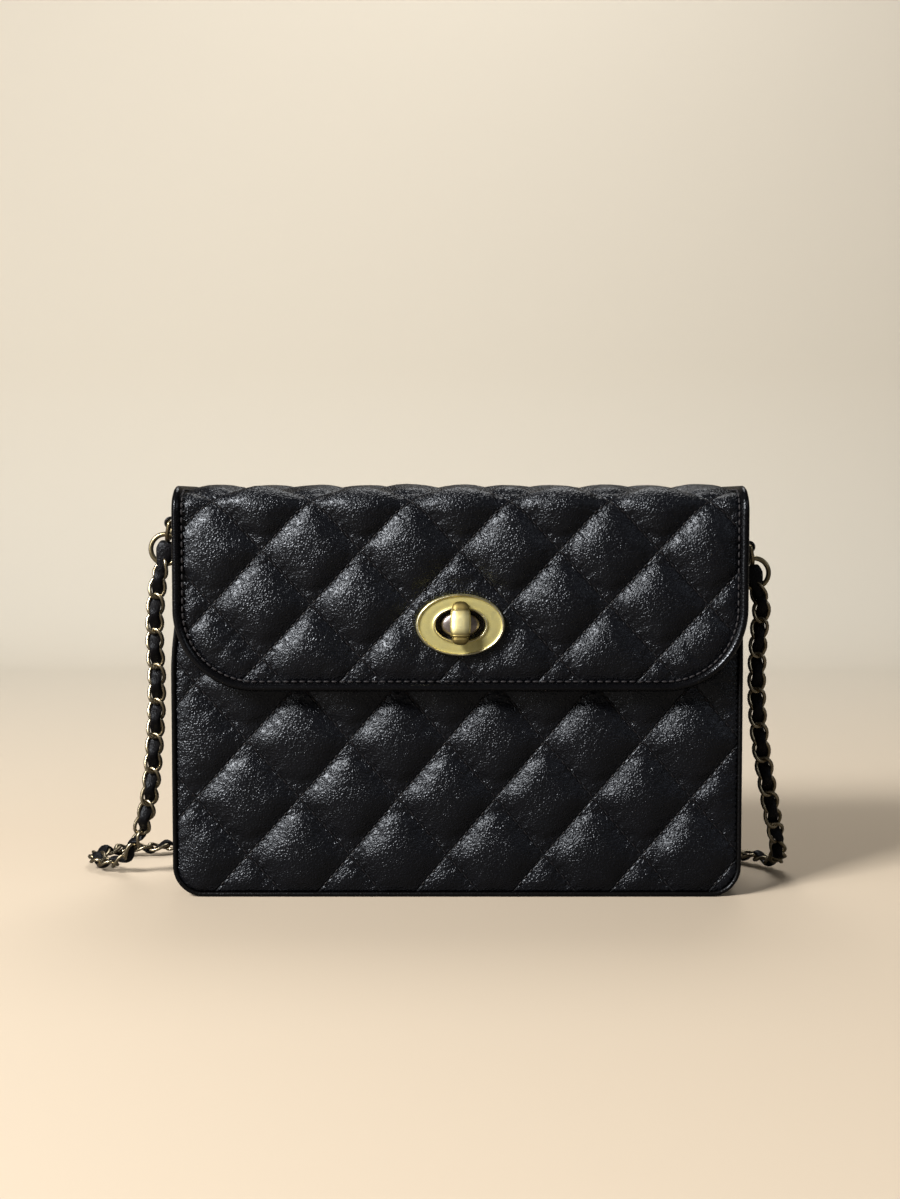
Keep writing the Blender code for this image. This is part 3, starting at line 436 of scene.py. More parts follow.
strap = {
    "diameter": 0.0075, "pitch": 0.00715, "wire": 0.0016, "halfWidth": 0.0031, "halfLength": 0.0044,
    "twist": 0.00098, "firstTurn": 36, "firstRise": 0.12, "rise": 0.2, "loopHeight": 0.0100,
    "loopDepth": 0.0011, "loopWidth": 0.0042, "loopThickness": 0.0009, "ribbonWidth": 0.0047,
    "ribbonThickness": 0.0017, "weave": 0.0019, "gap": 0.0004, "blendDrop": 0.004, "blendLength": 0.034,
    "leftStart": (-0.12069, 0.0077, 0.12889), "rightStart": (0.12069, 0.0077, 0.11919),
    "lean": 13.3, "lead": 0.007, "floor": 0.0039,
    "leftRows": [
        (-0.1236, 0.0077, 0.110), (-0.1238, 0.0077, 0.097), (-0.1232, 0.0077, 0.084),
        (-0.1236, 0.0077, 0.068), (-0.1250, 0.0080, 0.050), (-0.1268, 0.0095, 0.036),
        (-0.1305, 0.0135, 0.0225), (-0.1365, 0.0190, 0.0105), (-0.1430, 0.0225, 0.0048),
        (-0.1495, 0.0265, 0.0039), (-0.1540, 0.0335, 0.0039), (-0.1545, 0.0430, 0.0039),
        (-0.1505, 0.0515, 0.0039), (-0.1430, 0.0555, 0.0039), (-0.1350, 0.0560, 0.0039),
        (-0.1270, 0.0590, 0.0039), (-0.1160, 0.0655, 0.0039), (-0.1020, 0.0710, 0.0039)],
    "hankRows": (0.0735, 0.1185, 0.1635), "hankRight": 0.060, "hankLeft": -0.085, "fold": 0.0225,
    "rightRows": [
        (0.0790, 0.1620, 0.0039), (0.0930, 0.1560, 0.0039), (0.1020, 0.1440, 0.0039),
        (0.1050, 0.1290, 0.0039), (0.1052, 0.1120, 0.0039), (0.1050, 0.0950, 0.0039),
        (0.1052, 0.0790, 0.0039), (0.1075, 0.0650, 0.0039), (0.1135, 0.0520, 0.0039),
        (0.1210, 0.0430, 0.0039), (0.1280, 0.0350, 0.0039), (0.1320, 0.0270, 0.0045),
        (0.1325, 0.0195, 0.0085), (0.1305, 0.0135, 0.0180), (0.1275, 0.0095, 0.0300),
        (0.1249, 0.0080, 0.043), (0.1225, 0.0077, 0.057), (0.1210, 0.0077, 0.071),
        (0.1207, 0.0077, 0.086), (0.1212, 0.0077, 0.100)],
}


def curveThrough(points, steps):
    # A smooth curve through the points, in so many steps from each to the next
    places = [Vector(p) for p in points]
    places = [2 * places[0] - places[1]] + places + [2 * places[-1] - places[-2]]
    curve = []
    for before, start, end, after in zip(places, places[1:], places[2:], places[3:]):
        for i in range(steps):
            t = i / steps
            curve.append(0.5 * (2 * start + (end - before) * t
                                + (2 * before - 5 * start + 4 * end - after) * t ** 2
                                + (3 * start - before - 3 * end + after) * t ** 3))
    return curve + [places[-2]]


def strapPath():
    near, middle, far = strap["hankRows"]
    toLeft, toRight, fold, floor = strap["hankLeft"], strap["hankRight"], strap["fold"], strap["floor"]
    turns = [pi * i / 8 for i in range(9)]
    right = [(toRight + fold * sin(t), (near + middle) / 2 - fold * cos(t), floor) for t in turns]
    left = [(toLeft - fold * sin(t), (middle + far) / 2 - fold * cos(t), floor) for t in turns]
    entry = [(toLeft + fold * i, near, floor) for i in range(4)]
    leave = [(toRight - fold * i, far, floor) for i in (3, 2, 1, 0)]
    lean = radians(strap["lean"])
    leadLeft = Vector((-sin(lean), 0, -cos(lean))) * strap["lead"]
    leadRight = Vector((sin(lean), 0, -cos(lean))) * strap["lead"]
    leftStart, rightStart = Vector(strap["leftStart"]), Vector(strap["rightStart"])
    rows = [leftStart, leftStart + leadLeft] + strap["leftRows"] + entry + right + [(0, middle, floor)]
    rows += left + leave + strap["rightRows"] + [rightStart + leadRight, rightStart]
    return np.array(curveThrough(rows, 12))


def easeStep(value, low, high):
    share = min(1.0, max(0.0, (value - low) / (high - low)))
    return share * share * (3 - 2 * share)


class Route:
    # A fine polyline that can be asked for its point, direction and facing at any distance
    def __init__(self, points):
        self.points = np.array(points)
        steps = np.linalg.norm(np.diff(self.points, axis=0), axis=1)
        self.run = np.concatenate([[0], np.cumsum(steps)])
        self.length = self.run[-1]

    def at(self, distance):
        return Vector([np.interp(distance, self.run, self.points[:, k]) for k in range(3)])

    def frameAt(self, distance):
        reach = 0.0015
        place = self.at(distance)
        if distance < 0:
            place = place + (self.at(0) - self.at(0.002)).normalized() * -distance
        ahead = (self.at(distance + reach) - self.at(max(0.0, distance - reach))).normalized()
        # The links face the front while they hang, and up where they lie
        flat = min(1.0, max(0.0, (0.030 - place.z) / 0.024))
        facing = Vector((0, -1, 0)).lerp(Vector((0, 0, 1)), flat * flat * (3 - 2 * flat))
        facing = (facing - ahead * facing.dot(ahead)).normalized()
        return place, ahead.cross(facing), ahead, facing


def smoothLine(points, count):
    route = Route([tuple(p) for p in curveThrough(points, 8)])
    return [route.at(route.length * i / (count - 1)) for i in range(count)]


def alongLine(line, t):
    # The point and the direction at a share of an evenly spaced line
    at = t * (len(line) - 1)
    first = min(int(at), len(line) - 2)
    ahead = (line[min(first + 1, len(line) - 1)] - line[max(first - 1, 0)]).normalized()
    return line[first].lerp(line[first + 1], at - first), ahead


def makeLink():
    # One curb link: a ring pulled to an oval and twisted, so that it lies through its neighbours
    freshStart()
    tube = 0.3
    bpy.ops.mesh.primitive_torus_add(major_segments=18, minor_segments=6, major_radius=1.0,
                                     minor_radius=tube)
    link = bpy.context.object
    wide, tall, wire = strap["halfWidth"], strap["halfLength"], strap["wire"] / 2
    for vert in link.data.vertices:
        turn = atan2(vert.co.y, vert.co.x)
        out = (sqrt(vert.co.x ** 2 + vert.co.y ** 2) - 1) / tube
        up = vert.co.z / tube
        middle = Vector((wide * cos(turn), tall * sin(turn), strap["twist"] * sin(2 * turn)))
        normal = Vector((cos(turn) * tall, sin(turn) * wide, 0)).normalized()
        vert.co = middle + normal * out * wire + Vector((0, 0, up * wire))
    return link


def makeChain(name, route):
    count = round(route.length / strap["pitch"])
    pitch = route.length / count
    matrices = []
    for i in range(count):
        rise = strap["firstRise"] if i == 0 else strap["rise"]
        place, side, ahead, facing = route.frameAt(pitch * (i + rise))
        axes = Matrix((side, ahead, facing)).transposed().to_4x4()
        if i == 0:
            # The first link stands nearly edge on, because it holds the ring
            axes = axes @ Matrix.Rotation(radians(strap["firstTurn"]), 4, "Y")
        matrices.append(Matrix.Translation(place) @ axes)
    chain = copiesOf(makeLink(), matrices, name)
    half = strap["ribbonWidth"] / 2
    thick = strap["ribbonThickness"] / 2

    def ribbonPlace(s, t):
        distance = route.length * t * 0.9985 + 0.0002
        place, side, ahead, facing = route.frameAt(distance)
        swing = cos(pi * (distance / pitch - 0.7))
        squeeze = 1.0 - 0.16 * swing * swing
        angle = 2 * pi * s
        across = half * squeeze * squared(cos(angle), 0.8)
        rise = thick * (0.85 + 0.35 * swing * swing) * sin(angle)
        return place + side * across + facing * (rise + strap["weave"] * swing)

    ribbon = wrapGrid(name + "Ribbon", ribbonPlace, 10, int(route.length / 0.0013), closeAround=True,
                      capped=True)

    # The ribbon's end goes up through the ring, over its wire and down again
    start, side, ahead, facing = route.frameAt(0)
    tall, deep = strap["loopHeight"], strap["loopDepth"]
    outline = [(-0.0030, deep * 0.6), (-0.0016, deep), (0.0010, deep * 1.05), (tall - 0.0036, deep),
               (tall - 0.0010, deep * 0.78), (tall, deep * 0.2), (tall - 0.0002, -deep * 0.4),
               (tall - 0.0014, -deep * 0.85), (tall - 0.0038, -deep), (0.0010, -deep * 1.05),
               (-0.0016, -deep), (-0.0030, -deep * 0.6)]
    line = smoothLine([start - ahead * rise + facing * out for rise, out in outline], 48)

    def loopRibbonPlace(s, t):
        middle, along = alongLine(line, t)
        turn = 2 * pi * s
        # Wide and full inside the ring, gathered where it enters the first links
        gather = (0.34 + 0.66 * sin(pi * t) ** 1.6) * (1 - 0.30 * max(0, 1 - abs(t - 0.5) / 0.13))
        return (middle + side * (strap["loopWidth"] * gather * cos(turn))
                + side.cross(along) * (strap["loopThickness"] * (0.7 + 0.3 * sin(pi * t)) * sin(turn)))

    loop = wrapGrid(name + "Loop", loopRibbonPlace, 12, 47, closeAround=True, capped=True)
    for piece, material in ((chain, brass["chain"]), (ribbon, leather["ribbon"]), (loop, leather["ribbon"])):
        setMaterial(piece, material)
    return chain, ribbon, loop, count


def hangChain(side, route):
    body, start = side + "_ring", strap[side + "Start"]
    chain, ribbon, loop, count = makeChain("chain" + side.capitalize(), route)
    for piece in (chain, ribbon):
        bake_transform(piece)
    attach(loop, body)
    path = [route.at(d) for d in np.linspace(0, route.length, 160)]
    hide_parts("strap_" + side, "strap_hank")
    return count


fine = strapPath()
whole = Route(fine)
hankMiddle = np.array([0, strap["hankRows"][1], strap["floor"]])
middleRun = whole.run[int(np.argmin(np.linalg.norm(fine - hankMiddle, axis=1)))]
leftRoute = Route([whole.at(d) for d in np.linspace(0, middleRun - strap["gap"], 400)])
rightRoute = Route([whole.at(d) for d in np.linspace(whole.length, middleRun + strap["gap"], 400)])
linkCount = hangChain("left", leftRoute) + hangChain("right", rightRoute)
print("chain strap made,", linkCount, "links,", round(whole.length, 4), "m")


# Where leather lies: outlines seen from the front, and the flap's fold over the top

foldSpec = {"low": 0.0820, "front": -0.0295, "back": 0.0367, "top": 0.1610, "frontRoll": 0.010,
            "backRoll": 0.008}
foldRise = foldSpec["top"] - foldSpec["frontRoll"] - foldSpec["low"]
foldFlat = foldSpec["back"] - foldSpec["backRoll"] - foldSpec["front"] - foldSpec["frontRoll"]
hingeRun = foldRise + foldSpec["frontRoll"] * pi / 2 + foldFlat + foldSpec["backRoll"] * pi / 2
bagInside = Vector((0, 0.0077, 0.085))


def foldPlace(side, run, out=0.0):
    # Up the flap's front, over a roll, the top and a roll, then down the back of the case
    front, back, top = foldSpec["frontRoll"], foldSpec["backRoll"], foldSpec["top"]
    if run < foldRise:
        return Vector((side, foldSpec["front"] - out, foldSpec["low"] + run))
    run -= foldRise
    if run < front * pi / 2:
        turn = run / front
        return Vector((side, foldSpec["front"] + front - (front + out) * cos(turn),
                       top - front + (front + out) * sin(turn)))
    run -= front * pi / 2
    if run < foldFlat:
        return Vector((side, foldSpec["front"] + front + run, top + out))
    run -= foldFlat
    if run < back * pi / 2:
        turn = run / back
        return Vector((side, foldSpec["back"] - back + (back + out) * sin(turn),
                       top - back + (back + out) * cos(turn)))
    run -= back * pi / 2
    return Vector((side, foldSpec["back"] + out, top - back - run))


def outlineAt(distance, spec):
    # A U: down the left side, round a corner, along the bottom, round a corner and up.
    # It gives the point and the direction to the inside
    half, low, high, radius = spec["half"], spec["low"], spec["high"], spec["radius"]
    side = high - low - radius
    arc = radius * pi / 2
    across = 2 * (half - radius)
    if distance <= side:
        return (-half, high - distance), (1, 0)
    distance -= side
    if distance <= arc:
        turn = distance / radius
        return (-half + radius * (1 - cos(turn)), low + radius * (1 - sin(turn))), (cos(turn), sin(turn))
    distance -= arc
    if distance <= across:
        return (-half + radius + distance, low), (0, 1)
    distance -= across
    if distance <= arc:
        turn = distance / radius
        return (half - radius * (1 - sin(turn)), low + radius * (1 - cos(turn))), (-sin(turn), cos(turn))
    return (half, low + radius + distance - arc), (-1, 0)


def outlineLength(spec):
    half, radius = spec["half"], spec["radius"]
    return 2 * (spec["high"] - spec["low"] - radius) + radius * pi + 2 * (half - radius)


def loopPlace(points, s):
    # A point on a closed list of section points
    place = (s % 1.0) * len(points)
    first = int(place) % len(points)
    share = place - int(place)
    start, end = points[first], points[(first + 1) % len(points)]
    return start[0] + (end[0] - start[0]) * share, start[1] + (end[1] - start[1]) * share


def linePlace(points, s):
    place = s * (len(points) - 1)
    first = min(int(place), len(points) - 2)
    share = place - first
    return tuple(a + (b - a) * share for a, b in zip(points[first], points[first + 1]))


def turnOut(piece):
    # An open surface is turned so that its faces look away from the inside of the bag
    total = sum((p.center - bagInside).dot(p.normal) * p.area for p in piece.data.polygons)
    if total < 0:
        enterEdit(piece)
        bpy.ops.mesh.flip_normals()
        leaveEdit()


def capsule(length, width, height):
    # One stitch: a sphere whose poles become its ends
    freshStart()
    bpy.ops.mesh.primitive_uv_sphere_add(segments=6, ring_count=4, radius=0.5)
    stitch = bpy.context.object
    for vert in stitch.data.vertices:
        vert.co = Vector((vert.co.z * length, vert.co.x * width, vert.co.y * height))
    return stitch


def axesAt(place, ahead, out):
    ahead = ahead.normalized()
    side = out.cross(ahead).normalized()
    axes = Matrix((ahead, side, ahead.cross(side))).transposed().to_4x4()
    return Matrix.Translation(place) @ axes


sagSpec = {"left": 0.0029, "right": 0.0004, "inner": 0.045, "outer": 0.106, "top": 0.126, "full": 0.088}


def sagged(piece):
    # The filled leather spreads sideways below the tabs, more on the left than on the right
    for vert in piece.data.vertices:
        reach = easeStep(abs(vert.co.x), sagSpec["inner"], sagSpec["outer"])
        low = 1 - easeStep(vert.co.z, sagSpec["full"], sagSpec["top"])
        most = sagSpec["left"] if vert.co.x < 0 else sagSpec["right"]
        vert.co.x += (-1 if vert.co.x < 0 else 1) * most * reach * low


# Quilted leather: a flat sheet marked in diamonds, blown up between its seams, then laid on the bag

def frontPlace(side, height, out):
    return Vector((side, -0.0213 - out, height))


quiltSpec = {
    "cells": 20, "diamondWidth": 0.0382, "skin": 0.0010, "stitch": (0.0021, 0.0007, 0.0005),
    "flap": {"crossing": (0.0, 0.0128), "diamondHeight": 0.0416, "puff": 0.0037, "base": -0.0029,
             "lock": (0.0, 0.0260, 0.0182, 0.0130), "lockRise": 0.0013, "hole": (0.0132, 0.0090),
             "half": 0.1080, "low": 0.0032, "corner": (0.0290, 9), "upperCorner": (0.0100, 5),
             "high": hingeRun + foldSpec["top"] - foldSpec["backRoll"] - 0.0022, "place": foldPlace},
    "front": {"crossing": (0.0140, 0.0391), "diamondHeight": 0.0452, "puff": 0.0036, "base": -0.0027,
              "lock": (0.0, 0.1080, 0.0138, 0.0095), "lockRise": 0.0019, "hole": None,
              "half": 0.1085, "low": 0.0018, "high": 0.1290, "corner": (0.0104, 5), "place": frontPlace},
    "frames": 20, "cap": 0.0042, "enlarged": 10,
    "cloth": {"quality": 4, "mass": 0.05, "air_damping": 3.0, "tension_stiffness": 8.0,
              "compression_stiffness": 8.0, "shear_stiffness": 3.0, "bending_stiffness": 0.05,
              "vertex_group_mass": "seams", "shrink_min": -0.035, "use_pressure": True,
              "uniform_pressure_force": 6.0},
}


def cornerPlanes(half, edge, up, radius, count):
    planes = []
    for i in range(count):
        turn = pi / 2 * (i + 0.5) / count
        for side in (-1, 1):
            out = (side * cos(turn), up * sin(turn))
            centre = (side * (half - radius), edge - up * radius)
            planes.append((centre[0] + radius * out[0], centre[1] + radius * out[1], *out))
    return planes


def trimPlanes(spec):
    # The lines that trim the sheet to its outline, each as a point and the direction outwards
    half, low, high = spec["half"], spec["low"], spec["high"]
    planes = cornerPlanes(half, low, -1, *spec["corner"])
    planes += [(side * half, 0.05, side, 0) for side in (-1, 1)] + [(0, low, 0, -1), (0, high, 0, 1)]
    if "upperCorner" in spec:
        planes += cornerPlanes(half, high, 1, *spec["upperCorner"])
    return planes


def latticeAt(spec, side, run):
    across = (side - spec["crossing"][0]) / quiltSpec["diamondWidth"]
    along = (run - spec["crossing"][1]) / spec["diamondHeight"]
    return across + along, across - along


def sheetAt(spec, a, b):
    return (spec["crossing"][0] + quiltSpec["diamondWidth"] * (a + b) / 2,
            spec["crossing"][1] + spec["diamondHeight"] * (a - b) / 2)


def cornersOf(spec):
    return [latticeAt(spec, side, run) for side in (-spec["half"], spec["half"])
            for run in (spec["low"], spec["high"])]


def edgeDistance(planes, side, run):
    return min((place[0] - side) * place[2] + (place[1] - run) * place[3] for place in planes)


def lockShare(spec, side, run):
    # 1 on the rim of the flat oval round the lock, less inside
    middle, height, wide, tall = spec["lock"]
    return sqrt(((side - middle) / wide) ** 2 + ((run - height) / tall) ** 2)


def selectFaces(piece, chosen):
    # Leaves the piece in edit mode with the faces selected that chosen(face) is true for
    enterEdit(piece, "DESELECT", "FACE")
    bpy.ops.object.mode_set(mode="OBJECT")
    for face in piece.data.polygons:
        face.select = bool(chosen(face))
    bpy.ops.object.mode_set(mode="EDIT")


def cutHole(piece, spec):
    # The leather is cut away under the lock's plate
    middle, height = spec["lock"][:2]
    wide, tall = spec["hole"]
    selectFaces(piece, lambda face: ((face.center.x - middle) / wide) ** 2
                + ((face.center.y - height) / tall) ** 2 < 1)
    bpy.ops.mesh.delete(type="FACE")
    leaveEdit()


def blowUp(piece, held):
    # Cloth held along its seams, blown up by air. It is simulated larger than it is
    piece.vertex_groups.new(name="seams").add(held, 1.0, "REPLACE")
    for vert in piece.data.vertices:
        vert.co = vert.co * quiltSpec["enlarged"]
    cloth = piece.modifiers.new("Blown", "CLOTH")
    for key, value in quiltSpec["cloth"].items():
        setattr(cloth.settings, key, value)
    cloth.settings.effector_weights.gravity = 0
    cloth.collision_settings.use_collision = False
    for frameNumber in range(1, quiltSpec["frames"] + 1):
        scene.frame_set(frameNumber)
    applyModifiers(piece)
    scene.frame_set(1)
    piece.vertex_groups.clear()
    return np.array([v.co for v in piece.data.vertices]) / quiltSpec["enlarged"]


def makeQuilt(name, spec):
    cells, planes = quiltSpec["cells"], trimPlanes(spec)
    corners = cornersOf(spec)
    low = [int(np.floor(min(corner[k] for corner in corners))) for k in (0, 1)]
    high = [int(np.ceil(max(corner[k] for corner in corners))) for k in (0, 1)]
    freshStart()
    bpy.ops.mesh.primitive_grid_add(x_subdivisions=(high[0] - low[0]) * cells,
                                    y_subdivisions=(high[1] - low[1]) * cells, size=2)
    piece = bpy.context.object
    piece.name = name
    for vert in piece.data.vertices:
        a = low[0] + (vert.co.x + 1) / 2 * (high[0] - low[0])
        b = low[1] + (vert.co.y + 1) / 2 * (high[1] - low[1])
        vert.co = (*sheetAt(spec, a, b), 0)
    enterEdit(piece)
    for plane in planes:
        bpy.ops.mesh.select_all(action="SELECT")
        bpy.ops.mesh.bisect(plane_co=(plane[0], plane[1], 0), plane_no=(plane[2], plane[3], 0),
                            clear_outer=True)
    bpy.ops.mesh.select_all(action="SELECT")
    bpy.ops.mesh.remove_doubles(threshold=0.00025)
    leaveEdit()
    if spec["hole"]:
        cutHole(piece, spec)
    flats = np.array([v.co[:2] for v in piece.data.vertices])
    lattice = [latticeAt(spec, *flat) for flat in flats]
    uv = piece.data.uv_layers.new(name="seamLines")
    for corner in piece.data.loops:
        uv.data[corner.index].uv = lattice[corner.vertex_index]
    edges = [edgeDistance(planes, *flat) for flat in flats]
    locks = [lockShare(spec, *flat) for flat in flats]
    held = [i for i, (a, b) in enumerate(lattice)
            if min(abs(a - round(a)), abs(b - round(b))) < 0.004 or edges[i] < 0.0002 or locks[i] < 1]
    blown = blowUp(piece, held)
    flats = flats + np.clip(blown[:, :2] - flats, -0.0008, 0.0008)
    rises = np.clip(-blown[:, 2], 0, quiltSpec["cap"])
    crown = max(0.0004, np.percentile(rises, 97))
    print(name, "blown up, crowns", round(crown * 1000, 2), "mm, capped points",
          int((rises >= quiltSpec["cap"]).sum()))
    rises = rises * spec["puff"] / crown
    uneven = [1 + ripple(0.22, u * 55, v * 55, 3) for u, v in flats]
    lift = [spec["lockRise"] * min(1, max(0, (1.22 - lock) / 0.22)) for lock in locks]
    rises = rises * np.array(uneven) + np.array(lift)
    for vert, (side, run), rise in zip(piece.data.vertices, flats, rises):
        vert.co = spec["place"](side, run, spec["base"] + rise)
    return piece


def seamStitches(name, spec, low, high):
    # One stitch for every ninth of a diamond's side, standing on the seam
    corners, planes, place = cornersOf(spec), trimPlanes(spec), spec["place"]
    share, level = seamSpec["stitches"], spec["base"] + 0.0002
    matrices = []
    for way in (0, 1):
        lines = [corner[way] for corner in corners]
        others = [corner[1 - way] for corner in corners]
        for line in range(int(np.ceil(min(lines))), int(max(lines)) + 1):
            for step in range(int(min(others) * share), int(max(others) * share) + 1):
                along = (step + 0.5) / share
                side, run = sheetAt(spec, *((line, along) if way == 0 else (along, line)))
                if edgeDistance(planes, side, run) < 0.0016 or lockShare(spec, side, run) < 1.06:
                    continue
                if not low <= run < high:
                    continue
                dSide, dRun = quiltSpec["diamondWidth"] / 2, spec["diamondHeight"] / 2 * (1 if way else -1)
                middle = place(side, run, level)
                ahead = place(side + dSide * 0.01, run + dRun * 0.01, level) - middle
                out = place(side, run, 0.001) - place(side, run, 0)
                matrices.append(axesAt(middle, ahead, out.normalized()))
    stitches = copiesOf(capsule(*quiltSpec["stitch"]), matrices, name)
    setMaterial(stitches, seamThread)
    return stitches


def finishQuilt(piece):
    turnOut(piece)
    thicken(piece, quiltSpec["skin"])
    smooth(piece)
    setMaterial(piece, leather["quilt"])


leatherSheet = makeQuilt("flapQuilt", quiltSpec["flap"])

# The sheet is parted along a zigzag of seams across the top
topMiddle = foldRise + foldSpec["frontRoll"] * pi / 2 + foldFlat * 0.5


def behindTop(face):
    uvData = leatherSheet.data.uv_layers["seamLines"].data
    a, b = [np.floor(sum(uvData[i].uv[k] for i in face.loop_indices) / face.loop_total) for k in (0, 1)]
    return sheetAt(quiltSpec["flap"], a, b)[1] > topMiddle


selectFaces(leatherSheet, behindTop)
bpy.ops.mesh.separate(type="SELECTED")
leaveEdit()
flapQuilt = leatherSheet
backQuilt = [o for o in bpy.context.selected_objects if o != leatherSheet][0]
backQuilt.name = "backQuilt"
sagged(backQuilt)
finishQuilt(flapQuilt)
finishQuilt(backQuilt)
flapStitches = seamStitches("flapSeamStitches", quiltSpec["flap"], 0, topMiddle)
backStitches = seamStitches("backSeamStitches", quiltSpec["flap"], topMiddle, quiltSpec["flap"]["high"])
sagged(backStitches)
for piece in (flapQuilt, flapStitches):
    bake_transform(piece)
for piece in (backQuilt, backStitches):
    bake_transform(piece)
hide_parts("flap_front_leather", "flap_top_leather")
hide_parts("back_panel", "flap_top_leather")

frontQuilt = makeQuilt("frontQuilt", quiltSpec["front"])
sagged(frontQuilt)
finishQuilt(frontQuilt)
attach(frontQuilt, "bag")
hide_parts("front_panel")
frontStitches = seamStitches("frontSeamStitches", quiltSpec["front"], 0, 1)
sagged(frontStitches)
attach(frontStitches, "bag")
print("quilted leather made")


# Bound edge of the flap

rimSpec = {
    "half": 0.1108, "low": 0.0, "high": hingeRun - 0.0003, "radius": 0.032, "steps": 260,
    "section": [(0.0035, -0.0020), (0.0033, -0.0011), (0.0028, -0.0004), (0.0022, 0.0001),
                (0.0016, 0.0003), (0.0010, 0.0000), (0.0004, -0.0008), (0.0, -0.0021), (0.0, -0.0038),
                (0.0004, -0.0050), (0.0012, -0.0056), (0.0034, -0.0057), (0.0036, -0.0046),
                (0.0036, -0.0030)],
    "stitch": (0.0024, 0.0009, 0.0007), "stitchPitch": 0.0031, "stitchInset": 0.0040,
    "stitchDepth": -0.0013,
}


def rimAt(distance, inset, out):
    (side, run), (inSide, inRun) = outlineAt(distance, rimSpec)
    return foldPlace(side + inSide * inset, run + inRun * inset, out)


rimLength = outlineLength(rimSpec)
flapRim = wrapGrid("flapRim", lambda s, t: rimAt(rimLength * t, *loopPlace(rimSpec["section"], s)),
                   len(rimSpec["section"]), rimSpec["steps"], closeAround=True, capped=True)
smooth(flapRim, 50)
setMaterial(flapRim, leather["smooth"])
places = []
for i in range(int(rimLength / rimSpec["stitchPitch"])):
    distance = (i + 0.5) * rimSpec["stitchPitch"]
    middle, beyond = [rimAt(d, rimSpec["stitchInset"], rimSpec["stitchDepth"])
                      for d in (distance, distance + 0.0004)]
    out = rimAt(distance, rimSpec["stitchInset"], 0) - middle
    places.append(axesAt(middle, beyond - middle, out.normalized()))
rimStitches = copiesOf(capsule(*rimSpec["stitch"]), places, "rimStitches")
setMaterial(rimStitches, edgeThread)
for piece in (flapRim, rimStitches):
    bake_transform(piece)
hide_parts("flap_front_edge", "flap_top_left_edge", "flap_top_right_edge")


# Linings

liningSpec = {"flapInset": 0.0036, "flapEnd": 0.0006, "flapDepth": -0.0046, "thickness": 0.0009,
              "wall": {"half": 0.1066, "low": 0.0057, "radius": 0.0067},
              "front": {"level": -0.0146, "high": 0.1289, "phase": 1},
              "back": {"level": 0.0300, "high": 0.1527, "phase": 2}}


def halfWidthAt(run, half, low, radius):
    if run >= low + radius:
        return half
    fall = (radius - (run - low)) / radius
    return half - radius + radius * sqrt(max(0.0, 1 - fall * fall))


def flapLiningPlace(s, t):
    inset = liningSpec["flapInset"]
    run = inset + (hingeRun - liningSpec["flapEnd"] - inset) * t
    side = (2 * s - 1) * halfWidthAt(run, rimSpec["half"] - inset, inset, rimSpec["radius"] - inset)
    return foldPlace(side, run, liningSpec["flapDepth"] + ripple(0.00012, side * 40, run * 40, 7))


def wallPlace(word):
    wall, spec = liningSpec["wall"], liningSpec[word]

    def place(s, t):
        height = wall["low"] + (spec["high"] - wall["low"]) * t
        side = (2 * s - 1) * halfWidthAt(height, **wall)
        wave = ripple(0.00015, side * 45, height * 45, spec["phase"])
        return Vector((side, spec["level"] + wave, height))
    return place


def makeLining(name, place, around, along, node):
    piece = wrapGrid(name, place, around, along)
    if name != "flapLining":
        sagged(piece)
        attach(piece, "bag")
    turnOut(piece)
    thicken(piece, liningSpec["thickness"])
    setMaterial(piece, liningCloth)
    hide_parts(node)
    return piece


flapLining = makeLining("flapLining", flapLiningPlace, 60, 120, "flap_top_lining")
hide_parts("flap_front_lining")
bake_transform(flapLining)
makeLining("frontLining", wallPlace("front"), 60, 40, "front_lining")
makeLining("backLining", wallPlace("back"), 60, 50, "back_lining")


# Gusset: the strip that makes the sides and the base, drawn in a little at both seams

gussetSpec = {
    "half": 0.1100, "low": 0.0, "high": 0.1465, "radius": 0.012, "front": -0.0186, "back": 0.0344,
    "drawnIn": 0.0007, "thickness": 0.0016, "uneven": 0.0001,
    "lining": {"half": 0.1079, "low": 0.0044, "high": 0.1463, "radius": 0.009, "front": -0.0136,
               "back": 0.0290, "drawnIn": 0.0, "uneven": 0.0001},
}


def gussetPlace(spec):
    length = outlineLength(spec)

    def place(s, t):
        (x, z), (inX, inZ) = outlineAt(length * t, spec)
        edge = abs(2 * s - 1) ** 4
        inward = spec["drawnIn"] * edge + spec["uneven"] * (1 + ripple(1, x * 30, s * 3, z * 45))
        level = spec["front"] + (spec["back"] - spec["front"]) * s
        return Vector((x + inX * inward, level, z + inZ * inward))
    return place


gusset = wrapGrid("gussetLeather", gussetPlace(gussetSpec), 24, 190)
sagged(gusset)
turnOut(gusset)
thicken(gusset, gussetSpec["thickness"])
finish(gusset, leather["smooth"], "bag", "leather", "gusset")
spec = gussetSpec["lining"]
makeLining("gussetLining", gussetPlace(spec), 16, 150,
           "gusset_lining")


# Mouth binding, pipings and tabs

bindingSpec = {
    "half": 0.1064, "stitch": (0.0022, 0.0007, 0.0005), "stitchRow": (-0.02125, 0.1306),
    "stitchRun": (-0.1048, 0.1050, 0.0031),
    "section": [
        (-0.0208, 0.1290), (-0.0211, 0.1294), (-0.0212, 0.1340), (-0.0210, 0.1376), (-0.0204, 0.1392),
        (-0.0192, 0.1400), (-0.0172, 0.1402), (-0.0153, 0.1400), (-0.0141, 0.1392), (-0.0136, 0.1376),
        (-0.0135, 0.1340), (-0.0135, 0.1294), (-0.0138, 0.1290), (-0.0146, 0.1290), (-0.0147, 0.1300),
        (-0.0147, 0.1380), (-0.0151, 0.1384), (-0.0193, 0.1384), (-0.0198, 0.1380), (-0.0198, 0.1300),
        (-0.0199, 0.1290)],
}


